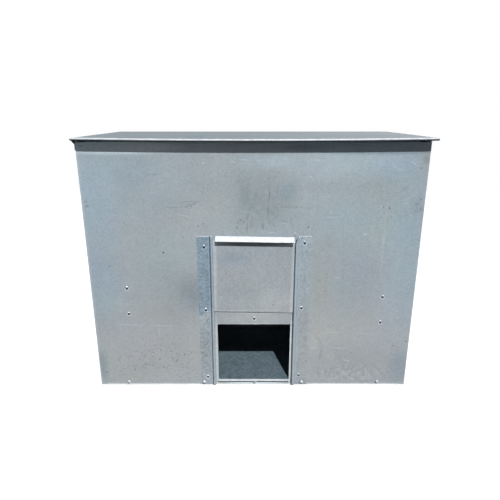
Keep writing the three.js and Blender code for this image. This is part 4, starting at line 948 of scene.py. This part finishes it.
for side_name, side in SIDES:
    hinge_x = side * HINGE_X
    left, right = hinge_x - HINGE_WIDTH / 2, hinge_x + HINGE_WIDTH / 2
    joint_1, joint_2 = left + HINGE_WIDTH / 3, left + 2 * (HINGE_WIDTH / 3)
    for leaf, up, near, spans, low, high in (
            ("lid", 1, BACK_Y + LID_STAND_OFF + SHEET + GAP,
             [(joint_1 + KNUCKLE_GAP, joint_2 - KNUCKLE_GAP)], HINGE_Z + 5.5, HINGE_Z + 30),
            ("wall", -1, BACK_Y + GAP,
             [(left, joint_1 - KNUCKLE_GAP), (joint_2 + KNUCKLE_GAP, right)], HINGE_Z - 34, HINGE_Z - 5.5)):
        shells = [plate(left, right, near, near + LEAF_SHEET, low, high)]
        for x0, x1 in spans:
            shells.append(knuckle(x0, x1))
            strap = sorted((HINGE_Z + up * 3.0, HINGE_Z + up * 6.5))
            shells.append(plate(x0, x1, near, near + LEAF_SHEET, *strap))
        for dx in (-28, 0, 28):
            rivet_at = (hinge_x + dx, near + LEAF_SHEET, HINGE_Z + up * 20)
            shells.append(head_on(rivet_at, (0, 1, 0), 3.9, 1.5))
        make_piece(f"{side_name}_{leaf}_leaf", shells, [bright_zinc], "bright_zinc",
                   "lid" if up > 0 else "bin", f"{side_name}_hinge_{leaf}_leaf")
    end = HINGE_WIDTH / 2 + GAP
    half_pin = [(2.4, end), (3.6, end), (3.6, end + 1.0), (2.9, end + 1.6), (0, end + 1.6)]
    pin_profile = [(radius, -along) for radius, along in half_pin[::-1]] + half_pin
    make_piece(side_name + "_pin", [turned(pin_profile, (hinge_x, HINGE_Y, HINGE_Z), (1, 0, 0), around=28)],
               [bright_zinc], "bright_zinc", "bin", side_name + "_hinge_pin")

# Rivets. Blind rivets with 8 mm domed heads, each hollow where its stem has dropped out, a shank through
# the sheets and a swollen end behind them. Their upper halves are painted bright as a highlight and their
# lower halves dark as shade.
GUIDE_FACE = FRONT_Y - GAP - SHEET - GAP
WALL_FACE = FRONT_Y - GAP
BACK_FACE = BACK_Y + GAP
PAIR = SHEET + GAP
rivets = [(f"{side_name}_guide_rivet_{k + 1}", *places[k], sheets)
          for side_name, places in (("left", LEFT_RIVETS), ("right", RIGHT_RIVETS))
          for k, sheets in enumerate((2, 3, 2))]
rivets.append(("hatch_header_rivet", *HEADER_RIVET, 2))
for side_name, side in SIDES:
    tie_x, tie_z = TIES[side_name]
    for wall in ("front", "back"):
        rivets += [(f"{side_name}_tie_{wall}_rivet_{k}", tie_x, tie_z + offset, 3)
                   for k, offset in ((1, -TIE_RIVET_RISE), (2, TIE_RIVET_RISE))]
        rivets.append((f"{side_name}_{wall}_corner_rivet", side * CORNER_RIVET_X, CORNER_RIVET_Z, 2))
for node, x, z, sheets in rivets:
    inward = -1 if "_back_" in node else 1
    face = BACK_FACE if inward < 0 else GUIDE_FACE if "guide" in node else WALL_FACE
    blind = sheets * PAIR + 2 * GAP
    profile = [(0, 1.2), (1.2, 1.1), (1.3, 0.0), (1.9, -0.9), (2.2, -1.4), (2.5, -1.5), (2.9, -1.3),
               (3.5, -0.75), (3.9, -0.15), (3.75, 0.0), (2.0, 0.0), (2.0, blind), (2.9, blind + 0.3),
               (2.8, blind + 2.6), (2.2, blind + 3.4), (0, blind + 3.6)]
    rivet = turned(profile, (x, face, z), (0, inward, 0), around=28)
    # Each is painted dark as shade up to its middle and bright as a highlight above it. The corner ones, in
    # the lid's shadow, have less of both, and the right one is painted in shade only.
    above = rivet["points"][:, 2] - z
    rivet["worn"] = np.clip((above - 0.7) / 0.8, -1.0, 1.0)
    if "corner" in node:
        rivet["worn"] = np.clip(rivet["worn"], -0.4, 0.8 if x < 0 else -0.3)
    make_piece(node + "_turned", [rivet], [bright_zinc], "bright_zinc", "bin", node)

# Bolts. Roofing bolts with slotted mushroom heads along the foot, tightened by square nuts inside. Each
# slot stands as its screwdriver left it.
BOLT_Z = 11


def bolt(centre, inward, sheets, slot_turn):
    """Head, shank and nut. The head's grid is x = u, y = v x the square root of 1 - u x u, so its columns
    run straight and the slot is a lowered band of them under the dome."""
    radius, crown, slot_half, slot_deep = 6.2, 3.4, 0.85, 1.5
    u = np.concatenate([np.linspace(-0.9995, -0.2, 11), [-slot_half / radius - 0.012, -slot_half / radius,
                        slot_half / radius, slot_half / radius + 0.012], np.linspace(0.2, 0.9995, 11)])
    v = np.sin(np.linspace(-math.pi / 2, math.pi / 2, 17))
    x = u[:, None] + 0 * v[None, :]
    y = v[None, :] * np.sqrt(1 - u[:, None] ** 2)
    level = crown * np.sqrt(np.clip(1.02 - x ** 2 - y ** 2, 0, 1))
    slot = np.abs(u)[:, None] < slot_half / radius + 0.001
    level = np.where(slot, np.minimum(level, crown - slot_deep), level)
    cos_turn, sin_turn = math.cos(slot_turn), math.sin(slot_turn)
    inward = np.array(inward, float)
    side = np.cross((0, 0, 1), inward)
    top = np.empty((len(u), len(v), 3))
    top[...] = centre
    top += radius * (x * cos_turn - y * sin_turn)[..., None] * side
    top += radius * (x * sin_turn + y * cos_turn)[..., None] * np.array((0, 0, 1.0))
    base = top.copy()
    top -= inward * (level[..., None] + 0.25)
    ones = np.ones((len(u) - 1, len(v) - 1), bool)
    # Painted light and shade: each head is lighter up and towards +X, darker down and towards -X, and its
    # rim is painted dark as shade.
    lit = np.clip(0.13 * (top[..., 0] - centre[0] + top[..., 2] - centre[2]), -0.8, 0.9)
    head = skin(base, top, ones, np.where(x ** 2 + y ** 2 > 0.93, -0.9, lit))
    grip = sheets * PAIR + 2 * GAP
    end = grip + 7
    shank = turned([(0, -0.5), (3, -0.5), (3, end - 0.5), (2.5, end), (0, end)], centre, inward, around=18)
    nut_x = np.array([-5, -4.4, 4.4, 5.0])
    nut = np.empty((4, 4, 3))
    nut[...] = centre
    nut += nut_x[:, None, None] * side + nut_x[None, :, None] * np.array((0, 0, 1.0))
    rim = np.maximum(np.abs(nut_x)[:, None], np.abs(nut_x)[None, :]) > 4.7
    far = nut + inward * (grip + 5 - 0.8 * rim[..., None])
    block = skin(far, nut + inward * grip, np.ones((3, 3), bool), np.zeros((4, 4)))
    return [head, shank, block]


FRONT_BOLTS = ((-408, 2, 0.4), (-160, 3, 2.1), (6, 2, 1.2), (159, 3, 0.9), (408, 2, 2.6))
bolts = [(f"front_bolt_{k + 1}", (x, GUIDE_FACE if sheets > 2 else WALL_FACE, BOLT_Z), (0, 1, 0), sheets,
          slot_turn) for k, (x, sheets, slot_turn) in enumerate(FRONT_BOLTS)]
bolts += [(f"back_bolt_{k + 1}", (x, BACK_FACE, BOLT_Z), (0, -1, 0), 2, 0.7 * k + 0.3)
          for k, x in enumerate((-408, 0, 408))]
bolts += [(f"{side_name}_side_bolt_{k + 1}", (side * (HALF_WIDTH - SHEET), y, BOLT_Z), (-side, 0, 0), 2,
           1.1 * k + 0.5) for side_name, side in SIDES for k, y in enumerate((-100, 120))]
for node, centre, inward, sheets, slot_turn in bolts:
    make_piece(node + "_slotted", bolt(centre, inward, sheets, slot_turn), [bright_zinc], "bright_zinc",
               "bin", node)
